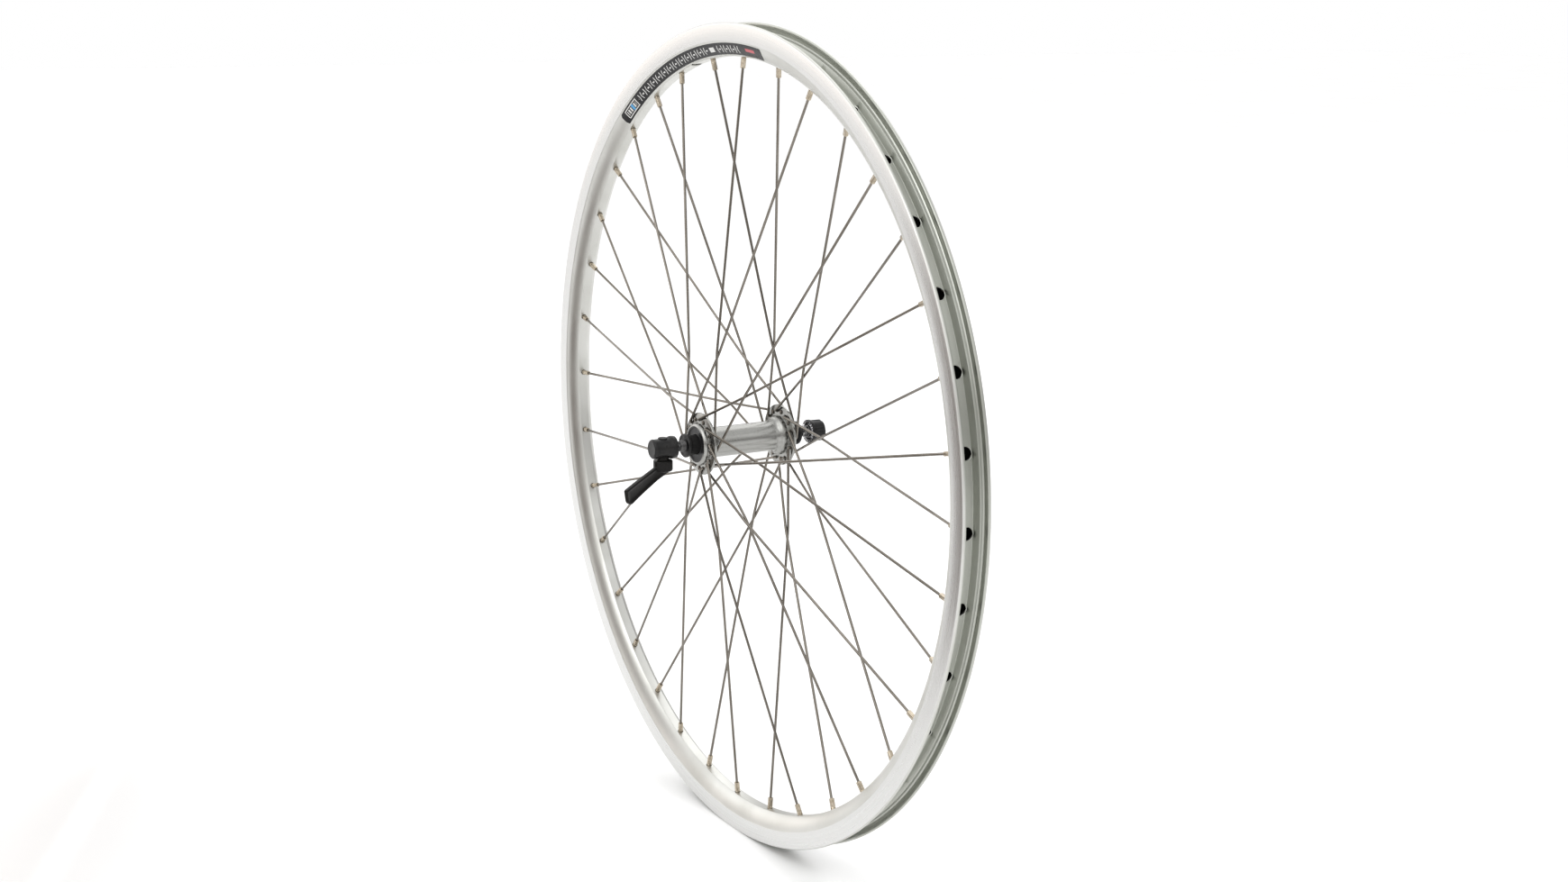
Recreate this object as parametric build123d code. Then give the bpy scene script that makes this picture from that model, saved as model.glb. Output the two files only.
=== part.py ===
from build123d import *

import os
from math import acos, asin, cos, degrees, pi, radians, sin, sqrt, tan

# A quick-release front wheel for a bicycle: 700C rim-brake rim, 36 spokes crossed three times,
# cup-and-cone hub and a cam-action skewer. Units are millimetres. The origin is the centre of the
# wheel, +Y runs along the axle from the lever to the nut, and +Z is up.

# ---------------------------------------------------------------- driving dimensions

# rim
bead_seat_diameter = 622.0
flange_height = 6.5            # rim flange above the bead seat
rim_height = 24.9              # rim flange down to the spoke bed
rim_width = 22.6
track_height = 13.5            # brake track, measured down from the rim flange
track_step = 0.35              # how far the track stands out from the wall below it
rim_wall = 1.8
bed_wall = 1.6
floor_wall = 1.4
well_depth = 5.0               # centre well below the bead seat
well_half_width = 4.2
bed_half_width = 3.6
spoke_hole_radius = 2.3
access_hole_radius = 4.5
valve_hole_radius = 4.25
edge_round = 1.2               # outer corner of the rim flange
hook_depth = 1.0               # how far the flange's bead hook stands in from the wall
hook_height = 2.2
seat_ledge = 0.8               # bevel between the flange and the bead seat
well_slope = 2.4               # width of the well's sloping side
sleeve_length = 40.0
decal_first_angle = 80.5
decal_last_angle = 127.5
decal_thickness = 0.12
decal_edge = 1.4               # from the decal's edges to the bed and to the track
decal_corner_radius = 2.0

# spokes and nipples
spoke_count = 36
crossings = 3
first_spoke_angle = 108.5      # degrees from +X towards +Z
spoke_radius = 1.0
spoke_head_radius = 1.75
spoke_head_thickness = 0.9
elbow_radius = 1.6
elbow_lift = 0.25              # outer elbow above the flange face, to pass over its edge
crossing_bend_radius = 100.0
crossing_gap = 0.2
nipple_radius = 2.0
nipple_head_radius = 3.1
nipple_head_height = 1.4
nipple_seat_radius = 3.6
nipple_square = 3.25
nipple_length = 12.9
nipple_round_length = 5.9
thread_end_gap = 1.2           # spoke end below the nipple's seat centre

# hub shell
flange_spacing = 70.4          # between the middles of the flanges
flange_diameter = 48.0
flange_thickness = 3.0
spoke_circle_diameter = 38.0
flange_hole_radius = 1.25
barrel_radius = 11.7
barrel_bore_radius = 8.5
shoulder_radius = 15.4
collar_radius = 16.4
collar_length = 3.7

# axle and bearings
over_locknut_width = 100.0
axle_stub = 4.0                # axle beyond each locknut
axle_radius = 4.5
rod_radius = 2.5
ball_radius = 2.381
ball_spacing = 1.1             # of one ball's diameter, centre to centre, at the least
ball_circle_radius = 8.7
ball_inset = 5.2               # ball centres, in from the end of the shell
cup_radius = 12.6
cup_depth = 7.1
cup_wall = 1.1
cup_floor_radius = 6.6
dust_cap_depth = 2.0
dust_cap_wall = 1.3            # how much wider the cap is than the cup
retainer_width = 1.7
retainer_thickness = 0.8
cone_radius = 7.2
cone_flat_depth = 0.7
cone_flat_length = 2.6
washer_thickness = 1.0
locknut_stack = 6.0            # washer and locknut together
locknut_radius = 9.2
locknut_flange = 1.8
locknut_across_flats = 12.4
boot_wall = 0.3
boot_lip_radius = 8.8
groove_width = 0.4             # rings cut in the locknut's face
groove_depth = 0.3

# skewer
lever_clamp_gap = 4.4          # lever-side clamping face beyond the end of the axle
cam_distance = 9.6             # cam's axis beyond the clamping face
housing_length = 19.3
housing_cap_length = 2.1
housing_radius = 7.7
housing_shoulder_radius = 8.8
housing_bore_radius = 5.9
cam_offset = 1.3
cam_pin_radius = 2.6
cam_journal_radius = 4.6
cam_tail_radius = 2.4
lever_head_radius = 7.5
lever_rest_angle = -65.8       # degrees from +X, seen from above
lever_length = 44.0
lever_drop = 36.4              # lowest point of the arm below the cam's height
lever_head_height = 8.6
lever_thickness = 4.8
lever_edge_round = 1.1
lever_bow = 1.6
nut_clamp_gap = 5.9            # nut-side clamping face beyond the end of the axle
nut_length = 12.6
nut_radius = 8.6
nut_lobes = 6
nut_flute_radius = 1.5
nut_recess_depth = 3.5
clamp_ring_inner_radius = 6.3
clamp_ring_thickness = 1.3
clamp_ring_teeth = 20
spring_wire_radius = 0.4
spring_turns = 4

# clearances
running_clearance = 0.08
thread_clearance = 0.02
race_clearance = 0.04
seat_clearance = 0.05
nipple_seat_clearance = 0.25
face_clearance = 0.1
seal_clearance = 0.4

# ---------------------------------------------------------------- sizes that follow

bead_seat_radius = bead_seat_diameter / 2
rim_outer_radius = bead_seat_radius + flange_height
rim_inner_radius = rim_outer_radius - rim_height
track_bottom_radius = rim_outer_radius - track_height
rim_half_width = rim_width / 2
wall_half_width = rim_half_width - track_step
floor_radius = bead_seat_radius - well_depth
bed_top_radius = rim_inner_radius + bed_wall
hole_step = 360 / spoke_count
valve_angle = first_spoke_angle - hole_step / 2
seam_angle = valve_angle + 180
lacing_angle = crossings * 2 * hole_step

flange_radius = flange_diameter / 2
flange_inner_y = flange_spacing / 2 - flange_thickness / 2
flange_outer_y = flange_spacing / 2 + flange_thickness / 2
spoke_circle_radius = spoke_circle_diameter / 2
shell_end_y = flange_outer_y + collar_length
ball_centre_y = shell_end_y - ball_inset
ball_count = int(2 * pi * ball_circle_radius / (2 * ball_radius * ball_spacing))
cup_outer_y = shell_end_y - dust_cap_depth - face_clearance
cup_inner_y = shell_end_y - dust_cap_depth - cup_depth
locknut_face_y = over_locknut_width / 2
locknut_flange_y = locknut_face_y - locknut_flange
axle_end_y = locknut_face_y + axle_stub
clamp_face_y = axle_end_y + lever_clamp_gap
cam_axis_y = clamp_face_y + cam_distance
housing_end_y = clamp_face_y + housing_length
nut_face_y = axle_end_y + nut_clamp_gap
axle_bore_radius = rod_radius + running_clearance

seat_drop = sqrt(nipple_seat_radius**2 - spoke_hole_radius**2) + nipple_seat_clearance
nipple_centre_radius = bed_top_radius + seat_drop
race_radius = ball_radius + race_clearance
lever_axis = Vector(0, -cam_axis_y, 0)


# ---------------------------------------------------------------- helpers

def polar(radius, angle, y=0.0):
    """A point at a radius and an angle round the axle, y along it."""
    return Vector(radius * cos(radians(angle)), y, radius * sin(radians(angle)))


def polar_flat(angle):
    """A level unit vector at an angle from +X, seen from above."""
    return Vector(cos(radians(angle)), sin(radians(angle)), 0)


def outline(start, *steps):
    """A closed face in the XY plane: a step of one point is a line, of two points an arc."""
    edges = []
    here = start
    for step in steps:
        if len(step) == 2 and isinstance(step[0], tuple):
            edges.append(ThreePointArc(here, step[0], step[1]))
            here = step[1]
        else:
            edges.append(Line(here, step))
            here = step
    edges.append(Line(here, start))
    return make_face(edges)


def turned(start, *steps):
    """A ring or shaft turned about the axle from a profile of (radius, y) points."""
    return revolve(outline(start, *steps), Axis.Y)


def tube(inner, outer, y0, y1):
    """A plain ring about the axle between two places along it."""
    return turned((inner, y0), (outer, y0), (outer, y1), (inner, y1))


def rod_between(start, end, radius):
    """A round bar from one point to another."""
    run = end - start
    plane = Plane(origin=start, z_dir=run)
    return extrude(plane * Circle(radius), amount=run.length)


def other_side(part):
    """The same piece on the other side of the wheel."""
    return mirror(part, Plane.XZ)


def turned_about_axle(part, angle):
    """Turns a part about the axle so that the polar angle grows by this many degrees."""
    return Rot(0, -angle, 0) * part


def rounded_path(points, radii):
    """Straight runs through the points, with a tangent arc at each inner one."""
    edges = []
    here = points[0]
    for before, corner, after, radius in zip(points, points[1:], points[2:], radii):
        into = (corner - before).normalized()
        out = (after - corner).normalized()
        turn = acos(max(-1.0, min(1.0, into.dot(out))))
        reach = radius * tan(turn / 2)
        arc_start = corner - into * reach
        arc_end = corner + out * reach
        inward = (out - into).normalized()
        middle = corner + inward * (radius / cos(turn / 2) - radius)
        edges.append(Line(here, arc_start))
        edges.append(ThreePointArc(arc_start, middle, arc_end))
        here = arc_end
    edges.append(Line(here, points[-1]))
    return Wire(edges)


# ---------------------------------------------------------------- rim

def wall_curve(side=1):
    """The curved wall from the spoke bed to the brake track, as three (radius, y) points."""
    return [(rim_inner_radius, side * bed_half_width),
            (rim_inner_radius + 6.2, side * (wall_half_width - 2.1)),
            (track_bottom_radius, side * wall_half_width)]


def rim_section():
    """Half of the box section on the +Y side, as an outline and the hollow inside it."""
    top = rim_outer_radius
    side = rim_half_width
    inside = rim_half_width - rim_wall
    hook = inside - hook_depth
    bed_corner, wall_middle, wall_top = wall_curve()
    shell = outline(
        (rim_inner_radius, 0),
        bed_corner,
        (wall_middle, wall_top),
        (track_bottom_radius, side),
        (top - edge_round, side),
        ((top - 0.3 * edge_round, side - 0.3 * edge_round), (top, side - edge_round)),
        (top, hook + hook_depth),
        ((top - 0.3, hook + 0.3), (top - hook_depth, hook)),
        (top - hook_height, hook),
        (top - hook_height - hook_depth, inside),
        (bead_seat_radius + seat_ledge, inside),
        (bead_seat_radius, inside - seat_ledge),
        (bead_seat_radius - 0.4, well_half_width + well_slope + 0.2),
        (floor_radius + 0.9, well_half_width + 0.5),
        (floor_radius, well_half_width),
        (floor_radius, 0),
    )
    hollow_half_width = inside - 0.2
    shelf_radius = bead_seat_radius - 2.1
    hollow_floor = floor_radius - floor_wall
    hollow = outline(
        (bed_top_radius, 0),
        (bed_top_radius, bed_half_width - 0.5),
        ((bed_top_radius + 5.0, hollow_half_width - 1.9),
         (track_bottom_radius - 0.4, hollow_half_width)),
        (shelf_radius - 0.2, hollow_half_width),
        (shelf_radius, well_half_width + well_slope + 0.4),
        (hollow_floor, well_half_width - 0.2),
        (hollow_floor, 0),
    )
    return shell, hollow


def whole_section(half):
    """Both halves of a section, joined across the middle of the rim."""
    return half + mirror(half, Plane.XZ)


def make_rim(spoke_lines):
    """The rim, drilled for the spokes, for the tool that reaches the nipples, and for the valve."""
    shell, hollow = rim_section()
    ring = revolve(whole_section(shell) - whole_section(hollow), Axis.Y)
    drills = []
    for centre, direction in spoke_lines:
        drills.append(rod_between(centre - direction * 9, centre - direction, spoke_hole_radius))
    drill_end = floor_radius + 4
    for hole in range(spoke_count):
        angle = first_spoke_angle - hole * hole_step
        drills.append(rod_between(polar(floor_radius - 4, angle), polar(drill_end, angle),
                                  access_hole_radius))
    drills.append(rod_between(polar(rim_inner_radius - 4, valve_angle),
                              polar(drill_end, valve_angle), valve_hole_radius))
    return ring - drills


def make_joint_sleeve():
    """The plug inside the box section that holds the rim's two ends together."""
    _, hollow = rim_section()
    plug = offset(whole_section(hollow), -face_clearance)
    sleeve = revolve(plug, Axis.Y, revolution_arc=degrees(sleeve_length / rim_inner_radius))
    middle = sleeve.bounding_box().center()
    own_angle = degrees(asin(middle.Z / sqrt(middle.X**2 + middle.Z**2)))
    return turned_about_axle(sleeve, seam_angle - own_angle)


def make_decal():
    """The printed strip on the lever-side wall, under the brake track."""
    wall_arc = ThreePointArc(*wall_curve(-1))
    film = make_face(offset(wall_arc, decal_thickness, side=Side.BOTH, closed=True))
    sweep_angle = decal_last_angle - decal_first_angle
    low = CenterArc((0, 0), rim_inner_radius + decal_edge, decal_first_angle, sweep_angle)
    high = CenterArc((0, 0), track_bottom_radius - decal_edge, decal_first_angle, sweep_angle)
    strip = make_face([low, Line(low @ 1, high @ 1), high, Line(high @ 0, low @ 0)])
    strip = fillet(strip.vertices(), decal_corner_radius)
    side_plane = Plane(origin=(0, 0, 0), x_dir=(1, 0, 0), z_dir=(0, -1, 0))
    shell, _ = rim_section()
    film_on_strip = revolve(film, Axis.Y) & extrude(side_plane * strip, amount=rim_width)
    return film_on_strip - revolve(whole_section(shell), Axis.Y)


# ---------------------------------------------------------------- spokes

spoke_sets = {
    # name: side of the wheel, first rim hole, way round the hub, elbow outside the flange
    "lever_side_outer_spokes": (-1, 0, 1, True),
    "lever_side_inner_spokes": (-1, 2, -1, False),
    "nut_side_outer_spokes": (1, 1, -1, True),
    "nut_side_inner_spokes": (1, 3, 1, False),
}

outer_elbow_y = flange_outer_y + elbow_radius + elbow_lift
inner_elbow_y = flange_inner_y - elbow_radius - seat_clearance


def spoke_points(side, hole, way, outside):
    """Head end, elbow, last crossing and nipple centre of one spoke."""
    rim_angle = first_spoke_angle - hole * hole_step
    hub_angle = rim_angle + way * lacing_angle
    elbow_y = outer_elbow_y if outside else inner_elbow_y
    head_y = flange_inner_y - seat_clearance if outside else flange_outer_y + seat_clearance
    across = spoke_circle_radius * sin(radians(lacing_angle))
    along = spoke_circle_radius * cos(radians(lacing_angle))
    slope = across / (nipple_centre_radius - along)
    crossing_x = (across + slope * along) / (tan(radians(hole_step)) + slope)
    crossing_share = (crossing_x - along) / (nipple_centre_radius - along)
    middle_y = (outer_elbow_y + inner_elbow_y) / 2 * (1 - crossing_share)
    swap = -1 if outside else 1
    crossing_y = middle_y + swap * (spoke_radius + crossing_gap / 2)
    crossing_radius = crossing_x / cos(radians(hole_step))
    return [
        polar(spoke_circle_radius, hub_angle, side * head_y),
        polar(spoke_circle_radius, hub_angle, side * elbow_y),
        polar(crossing_radius, rim_angle + way * hole_step, side * crossing_y),
        polar(nipple_centre_radius, rim_angle),
    ]


def spoke_line(side, hole, way, outside):
    """Where one spoke's nipple sits and the way it points, out from the hub."""
    points = spoke_points(side, hole, way, outside)
    return points[3], (points[3] - points[2]).normalized()


def make_spoke(side, hole, way, outside):
    """One J-bend spoke: flat head, elbow, and the bend where it passes its neighbour."""
    points = spoke_points(side, hole, way, outside)
    end = points[3] - (points[3] - points[2]).normalized() * thread_end_gap
    path = rounded_path(points[:3] + [end], [elbow_radius, crossing_bend_radius])
    start = Plane(origin=points[0], z_dir=points[1] - points[0])
    wire = sweep(start * Circle(spoke_radius), path=path)
    outward = (points[0] - points[1]).normalized()
    head = rod_between(points[0], points[0] + outward * spoke_head_thickness, spoke_head_radius)
    return wire + head


def make_nipple():
    """One nipple along Z: domed head at the origin, round neck, square shank towards -Z."""
    rim_z = -sqrt(nipple_seat_radius**2 - nipple_head_radius**2)
    neck_z = -sqrt(nipple_seat_radius**2 - nipple_radius**2)
    top_z = rim_z + nipple_head_height
    round_end = top_z - nipple_round_length
    bottom = top_z - nipple_length
    middle_r = (nipple_head_radius + nipple_radius) / 2
    middle_z = -sqrt(nipple_seat_radius**2 - middle_r**2)
    bore = spoke_radius + thread_clearance
    head_face = make_face([
        Line((bore, top_z), (nipple_head_radius - 0.4, top_z)),
        Line((nipple_head_radius - 0.4, top_z), (nipple_head_radius, top_z - 0.4)),
        Line((nipple_head_radius, top_z - 0.4), (nipple_head_radius, rim_z)),
        ThreePointArc((nipple_head_radius, rim_z), (middle_r, middle_z), (nipple_radius, neck_z)),
        Line((nipple_radius, neck_z), (nipple_radius, round_end)),
        Line((nipple_radius, round_end), (bore, round_end)),
        Line((bore, round_end), (bore, top_z)),
    ])
    head = revolve(head_face, Axis.Y)
    head = Rot(90, 0, 0) * head
    square = Pos(0, 0, bottom) * extrude(
        Rectangle(nipple_square, nipple_square) & Circle(nipple_radius), amount=round_end - bottom)
    square = square - Pos(0, 0, bottom) * Cylinder(bore, 2 * nipple_length)
    return head + square


def make_nipples(side):
    """The eighteen nipples that one flange's spokes end in."""
    one = make_nipple()
    placed = []
    for set_side, first, way, outside in spoke_sets.values():
        if set_side != side:
            continue
        for hole in range(first, spoke_count, 4):
            centre, direction = spoke_line(set_side, hole, way, outside)
            tangent = Vector(0, 1, 0).cross(direction)
            plane = Plane(origin=centre, x_dir=tangent, z_dir=direction)
            placed.append(plane.location * one)
    return Compound(children=placed)


def make_spoke_set(side, first, way, outside):
    """Nine spokes of one kind, every fourth hole round the rim."""
    one = make_spoke(side, first, way, outside)
    placed = []
    for number in range(spoke_count // 4):
        placed.append(turned_about_axle(one, -number * 4 * hole_step))
    return Compound(children=placed)


# ---------------------------------------------------------------- hub

def make_hub_shell():
    """The shell: barrel, two flanges with spoke holes, and a bored collar at each end."""
    flange = flange_radius
    inner_y = flange_inner_y
    outer_y = flange_outer_y
    cup_seat_y = cup_inner_y - face_clearance
    cap_radius = cup_radius + dust_cap_wall
    cap_seat_y = shell_end_y - dust_cap_depth
    half = outline(
        (barrel_bore_radius, 0),
        (barrel_radius, 0),
        (barrel_radius, inner_y - 9.2),
        ((barrel_radius + 0.5, inner_y - 6.9), (barrel_radius + 1.9, inner_y - 5.1)),
        ((shoulder_radius - 0.5, inner_y - 3.7), (shoulder_radius, inner_y - 1.9)),
        (shoulder_radius, inner_y),
        (flange - 0.6, inner_y),
        ((flange - 0.18, inner_y + 0.18), (flange, inner_y + 0.6)),
        (flange, outer_y - 1.4),
        ((flange - 0.12, outer_y - 1.05), (flange - 0.5, outer_y - 0.85)),
        (flange - 3.0, outer_y),
        (collar_radius + 0.5, outer_y),
        ((collar_radius + 0.1, outer_y + 0.15), (collar_radius, outer_y + 0.5)),
        (collar_radius - 0.1, outer_y + 1.4),
        ((collar_radius - 0.7, outer_y + 2.8), (collar_radius - 1.9, shell_end_y)),
        (cap_radius, shell_end_y),
        (cap_radius, cap_seat_y),
        (cup_radius, cap_seat_y),
        (cup_radius, cup_seat_y),
        (barrel_bore_radius, cup_seat_y),
    )
    shell = revolve(half + mirror(half, Plane.XZ), Axis.Y)
    drills = []
    for side, first, way, outside in spoke_sets.values():
        for hole in range(first, spoke_count, 4):
            angle = first_spoke_angle - hole * hole_step + way * lacing_angle
            drills.append(rod_between(
                polar(spoke_circle_radius, angle, side * (inner_y - 0.5)),
                polar(spoke_circle_radius, angle, side * (outer_y + 0.5)),
                flange_hole_radius))
    return shell - drills


def race_point(angle):
    """A point on the ball race, by its direction from the ball's centre, in (radius, y)."""
    return (ball_circle_radius + race_radius * cos(radians(angle)),
            ball_centre_y + race_radius * sin(radians(angle)))


def make_cup():
    """The pressed steel cup that the balls run in."""
    return turned(
        (cup_floor_radius, cup_inner_y),
        (cup_radius, cup_inner_y),
        (cup_radius, cup_outer_y),
        (cup_radius - cup_wall, cup_outer_y),
        race_point(0),
        (race_point(-45), race_point(-90)),
        (cup_floor_radius, race_point(-90)[1]),
    )


cone_inner_y = race_point(180)[1] - 1.7
cone_outer_y = locknut_face_y - locknut_stack
washer_outer_y = cone_outer_y + washer_thickness


def make_cone():
    """The cone that screws onto the axle and carries the inner race, with two spanner flats."""
    bore = axle_radius + thread_clearance
    cone = turned(
        (bore, cone_inner_y),
        (race_point(180)[0], cone_inner_y),
        race_point(180),
        (race_point(150), race_point(120)),
        (cone_radius, race_point(120)[1]),
        (cone_radius, cone_outer_y),
        (bore, cone_outer_y),
    )
    flat = Box(3 * cone_radius, cone_flat_length, cone_radius)
    flat_z = cone_radius - cone_flat_depth + cone_radius / 2
    flats = [Pos(0, cone_outer_y - cone_flat_length / 2, side * flat_z) * flat for side in (-1, 1)]
    return cone - flats


def ball_places(side):
    """The centres of the balls of one bearing."""
    return [polar(ball_circle_radius, number * 360 / ball_count, side * ball_centre_y)
            for number in range(ball_count)]


def make_balls(side):
    """The loose balls of one bearing."""
    return Compound(children=[Pos(place) * Sphere(ball_radius) for place in ball_places(side)])


def make_retainer():
    """The pressed ring whose fingers keep the balls apart."""
    outer = race_point(0)[0] - 0.15
    start = ball_centre_y + ball_radius / 2
    ring = tube(outer - retainer_width, outer, start, start + retainer_thickness)
    pockets = [Pos(place) * Sphere(race_radius) for place in ball_places(1)]
    return ring - pockets


def make_dust_cap():
    """The black dished ring pressed into the end of the shell, round the rubber boot."""
    outer = cup_radius + dust_cap_wall
    inner = cone_radius + boot_wall + seal_clearance
    web = shell_end_y - dust_cap_depth
    return turned(
        (inner, web),
        (outer, web),
        (outer, shell_end_y - 0.2),
        (outer - 0.9, shell_end_y - 0.2),
        (outer - 1.5, web + 0.9),
        (inner + 0.8, web + 0.7),
        (inner, web + 1.2),
    )


def make_boot():
    """The rubber boot over the cone, with a lip behind the locknut's flange."""
    inner = cone_radius + thread_clearance
    outer = cone_radius + boot_wall
    start = shell_end_y - 0.6 * dust_cap_depth
    lip_y = locknut_flange_y - thread_clearance
    return turned(
        (inner, start),
        (outer, start),
        (outer, lip_y - 2.6),
        ((outer + 0.3, lip_y - 1.7), (boot_lip_radius - 0.3, lip_y - 1.2)),
        (boot_lip_radius, lip_y - 0.9),
        (boot_lip_radius, lip_y),
        (inner, lip_y),
    )


def make_washer():
    """The keyed washer between cone and locknut."""
    return tube(axle_radius + thread_clearance, cone_radius - 0.2, cone_outer_y, washer_outer_y)


def make_locknut():
    """The locknut: a hexagon inside the boot and a grooved flange that meets the fork end."""
    corner_radius = locknut_across_flats / sqrt(3)
    hexagon = Plane(origin=(0, washer_outer_y, 0), z_dir=(0, 1, 0)) * RegularPolygon(corner_radius, 6)
    nut = extrude(hexagon, amount=locknut_flange_y - washer_outer_y)
    flange = turned(
        (0, locknut_flange_y),
        (locknut_radius, locknut_flange_y),
        (locknut_radius, locknut_face_y - 0.5),
        (locknut_radius - 0.5, locknut_face_y),
        (0, locknut_face_y),
    )
    grooves = [
        tube(locknut_radius - inset, locknut_radius - inset + groove_width,
             locknut_face_y - groove_depth, locknut_face_y + 1)
        for inset in (1.0, 2.0, 3.0)
    ]
    bore = tube(0, axle_radius + thread_clearance, washer_outer_y - 1, locknut_face_y + 1)
    return nut + flange - bore - grooves


def make_axle():
    """The hollow axle that the skewer passes through."""
    chamfer_size = 0.6
    return turned(
        (axle_bore_radius, -axle_end_y),
        (axle_radius - chamfer_size, -axle_end_y),
        (axle_radius, chamfer_size - axle_end_y),
        (axle_radius, axle_end_y - chamfer_size),
        (axle_radius - chamfer_size, axle_end_y),
        (axle_bore_radius, axle_end_y),
    )


# ---------------------------------------------------------------- skewer

ring_outer_radius = housing_shoulder_radius - 0.2
spring_recess_radius = clamp_ring_inner_radius - 0.2
spring_recess_depth = 2.4
guide_wall = 1.1
housing_bore_start = clamp_face_y + spring_recess_depth + guide_wall
housing_bore_end = housing_end_y - housing_cap_length
lever_head_top = -(housing_shoulder_radius + 0.3)
cam_half_height = 2.6
rod_head_half_height = cam_half_height - 0.2
cam_rest_angle = 204.0         # where the cam's high side points at rest
rod_end_y = nut_face_y + 11.0


def make_clamp_ring(face_y):
    """A serrated steel ring; its toothed face is at face_y and looks towards -Y."""
    ring = tube(clamp_ring_inner_radius, ring_outer_radius, face_y, face_y + clamp_ring_thickness)
    notch = Rot(45, 0, 0) * Box(4, 0.8, 0.6)
    middle = (clamp_ring_inner_radius + ring_outer_radius) / 2
    cuts = [turned_about_axle(Pos(middle, face_y, 0) * notch, number * 360 / clamp_ring_teeth)
            for number in range(clamp_ring_teeth)]
    return ring - cuts


def make_cam_housing():
    """The barrel that the cam turns in, open at its outer end."""
    face = -(clamp_face_y + clamp_ring_thickness)
    body = turned(
        (0, face),
        (housing_shoulder_radius, face),
        (housing_shoulder_radius, face - 1.6),
        ((housing_shoulder_radius - 0.3, face - 2.7), (housing_radius + 0.1, face - 3.4)),
        (housing_radius, face - 5.0),
        (housing_radius - 0.3, -housing_bore_end),
        (0, -housing_bore_end),
    )
    boss = Pos(lever_axis) * extrude(Circle(cam_tail_radius + 1.3), amount=housing_radius + 0.7)
    recess = tube(0, spring_recess_radius, -(clamp_face_y + spring_recess_depth), 1 - clamp_face_y)
    guide = tube(0, axle_bore_radius, -(housing_bore_start + 1), -clamp_face_y)
    bore = tube(0, housing_bore_radius, -(housing_end_y + 1), -housing_bore_start)
    tail_hole = Pos(lever_axis) * extrude(
        Circle(cam_tail_radius + seat_clearance), amount=housing_radius)
    journal_hole = Pos(lever_axis) * extrude(
        Circle(cam_journal_radius + seat_clearance), amount=-(housing_radius + 3))
    return body + boss - recess - guide - bore - tail_hole - journal_hole


def make_end_cap():
    """The domed plug that closes the outer end of the cam housing."""
    lip = housing_radius - 0.1
    start = -housing_bore_end
    end = -housing_end_y
    return turned(
        (0, start + 1.0),
        (housing_bore_radius - 0.02, start + 1.0),
        (housing_bore_radius - 0.02, start),
        (lip, start),
        (lip, end + 1.0),
        ((lip - 0.35, end + 0.3), (lip - 1.2, end)),
        (0, end - 0.3),
    )


def lever_outline():
    """The arm seen from the side: distance from the cam's axis, and height."""
    tip = lever_length
    low = -lever_drop
    root = -lever_head_radius + 0.9
    return make_face([
        Line((root, lever_head_top - 2.9), (root, lever_head_top - 10.5)),
        Line((root, lever_head_top - 10.5), (-root - 0.2, low + 12.6)),
        Line((-root - 0.2, low + 12.6), (0.84 * tip, low)),
        ThreePointArc((0.84 * tip, low), (0.94 * tip, low + 0.2), (0.966 * tip, low + 3.0)),
        Line((0.966 * tip, low + 3.0), (tip, low + 10.0)),
        ThreePointArc((tip, low + 10.0), (tip, low + 11.4), (0.96 * tip, low + 12.2)),
        ThreePointArc((0.96 * tip, low + 12.2), (0.60 * tip, low + 16.8),
                      (lever_head_radius + 0.1, lever_head_top - 4.5)),
        Line((lever_head_radius + 0.1, lever_head_top - 4.5), (root, lever_head_top - 2.9)),
    ])


def make_lever():
    """The lever: a round head, the arm that sweeps down and out, and the cam in one piece."""
    side_view = Plane(origin=lever_axis, x_dir=polar_flat(lever_rest_angle),
                      z_dir=polar_flat(lever_rest_angle - 90))
    blank = extrude(side_view * lever_outline(), amount=12, both=True)
    half_length = lever_length / 2
    bow_radius = half_length**2 / (2 * lever_bow) + lever_bow / 2
    bow_centre = lever_axis + polar_flat(lever_rest_angle) * half_length \
        + polar_flat(lever_rest_angle + 90) * (bow_radius - lever_bow)
    bow = Cylinder(bow_radius + lever_thickness / 2, 3 * lever_drop) \
        - Cylinder(bow_radius - lever_thickness / 2, 3 * lever_drop)
    arm = blank & Pos(bow_centre) * bow
    arm = fillet(arm.edges(), lever_edge_round)
    head = extrude(Circle(lever_head_radius), amount=-lever_head_height)
    head = Pos(0, -cam_axis_y, lever_head_top) * chamfer(head.edges(), 0.7)
    journal = Pos(0, -cam_axis_y, lever_head_top - 0.5) * extrude(
        Circle(cam_journal_radius), amount=-cam_half_height - lever_head_top + 0.5)
    pin = Pos(lever_axis + polar_flat(cam_rest_angle) * cam_offset) \
        * Cylinder(cam_pin_radius, 2 * cam_half_height)
    tail = Pos(0, -cam_axis_y, cam_half_height) * extrude(
        Circle(cam_tail_radius), amount=housing_radius - 0.4 - cam_half_height)
    return arm + head + journal + pin + tail


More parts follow.
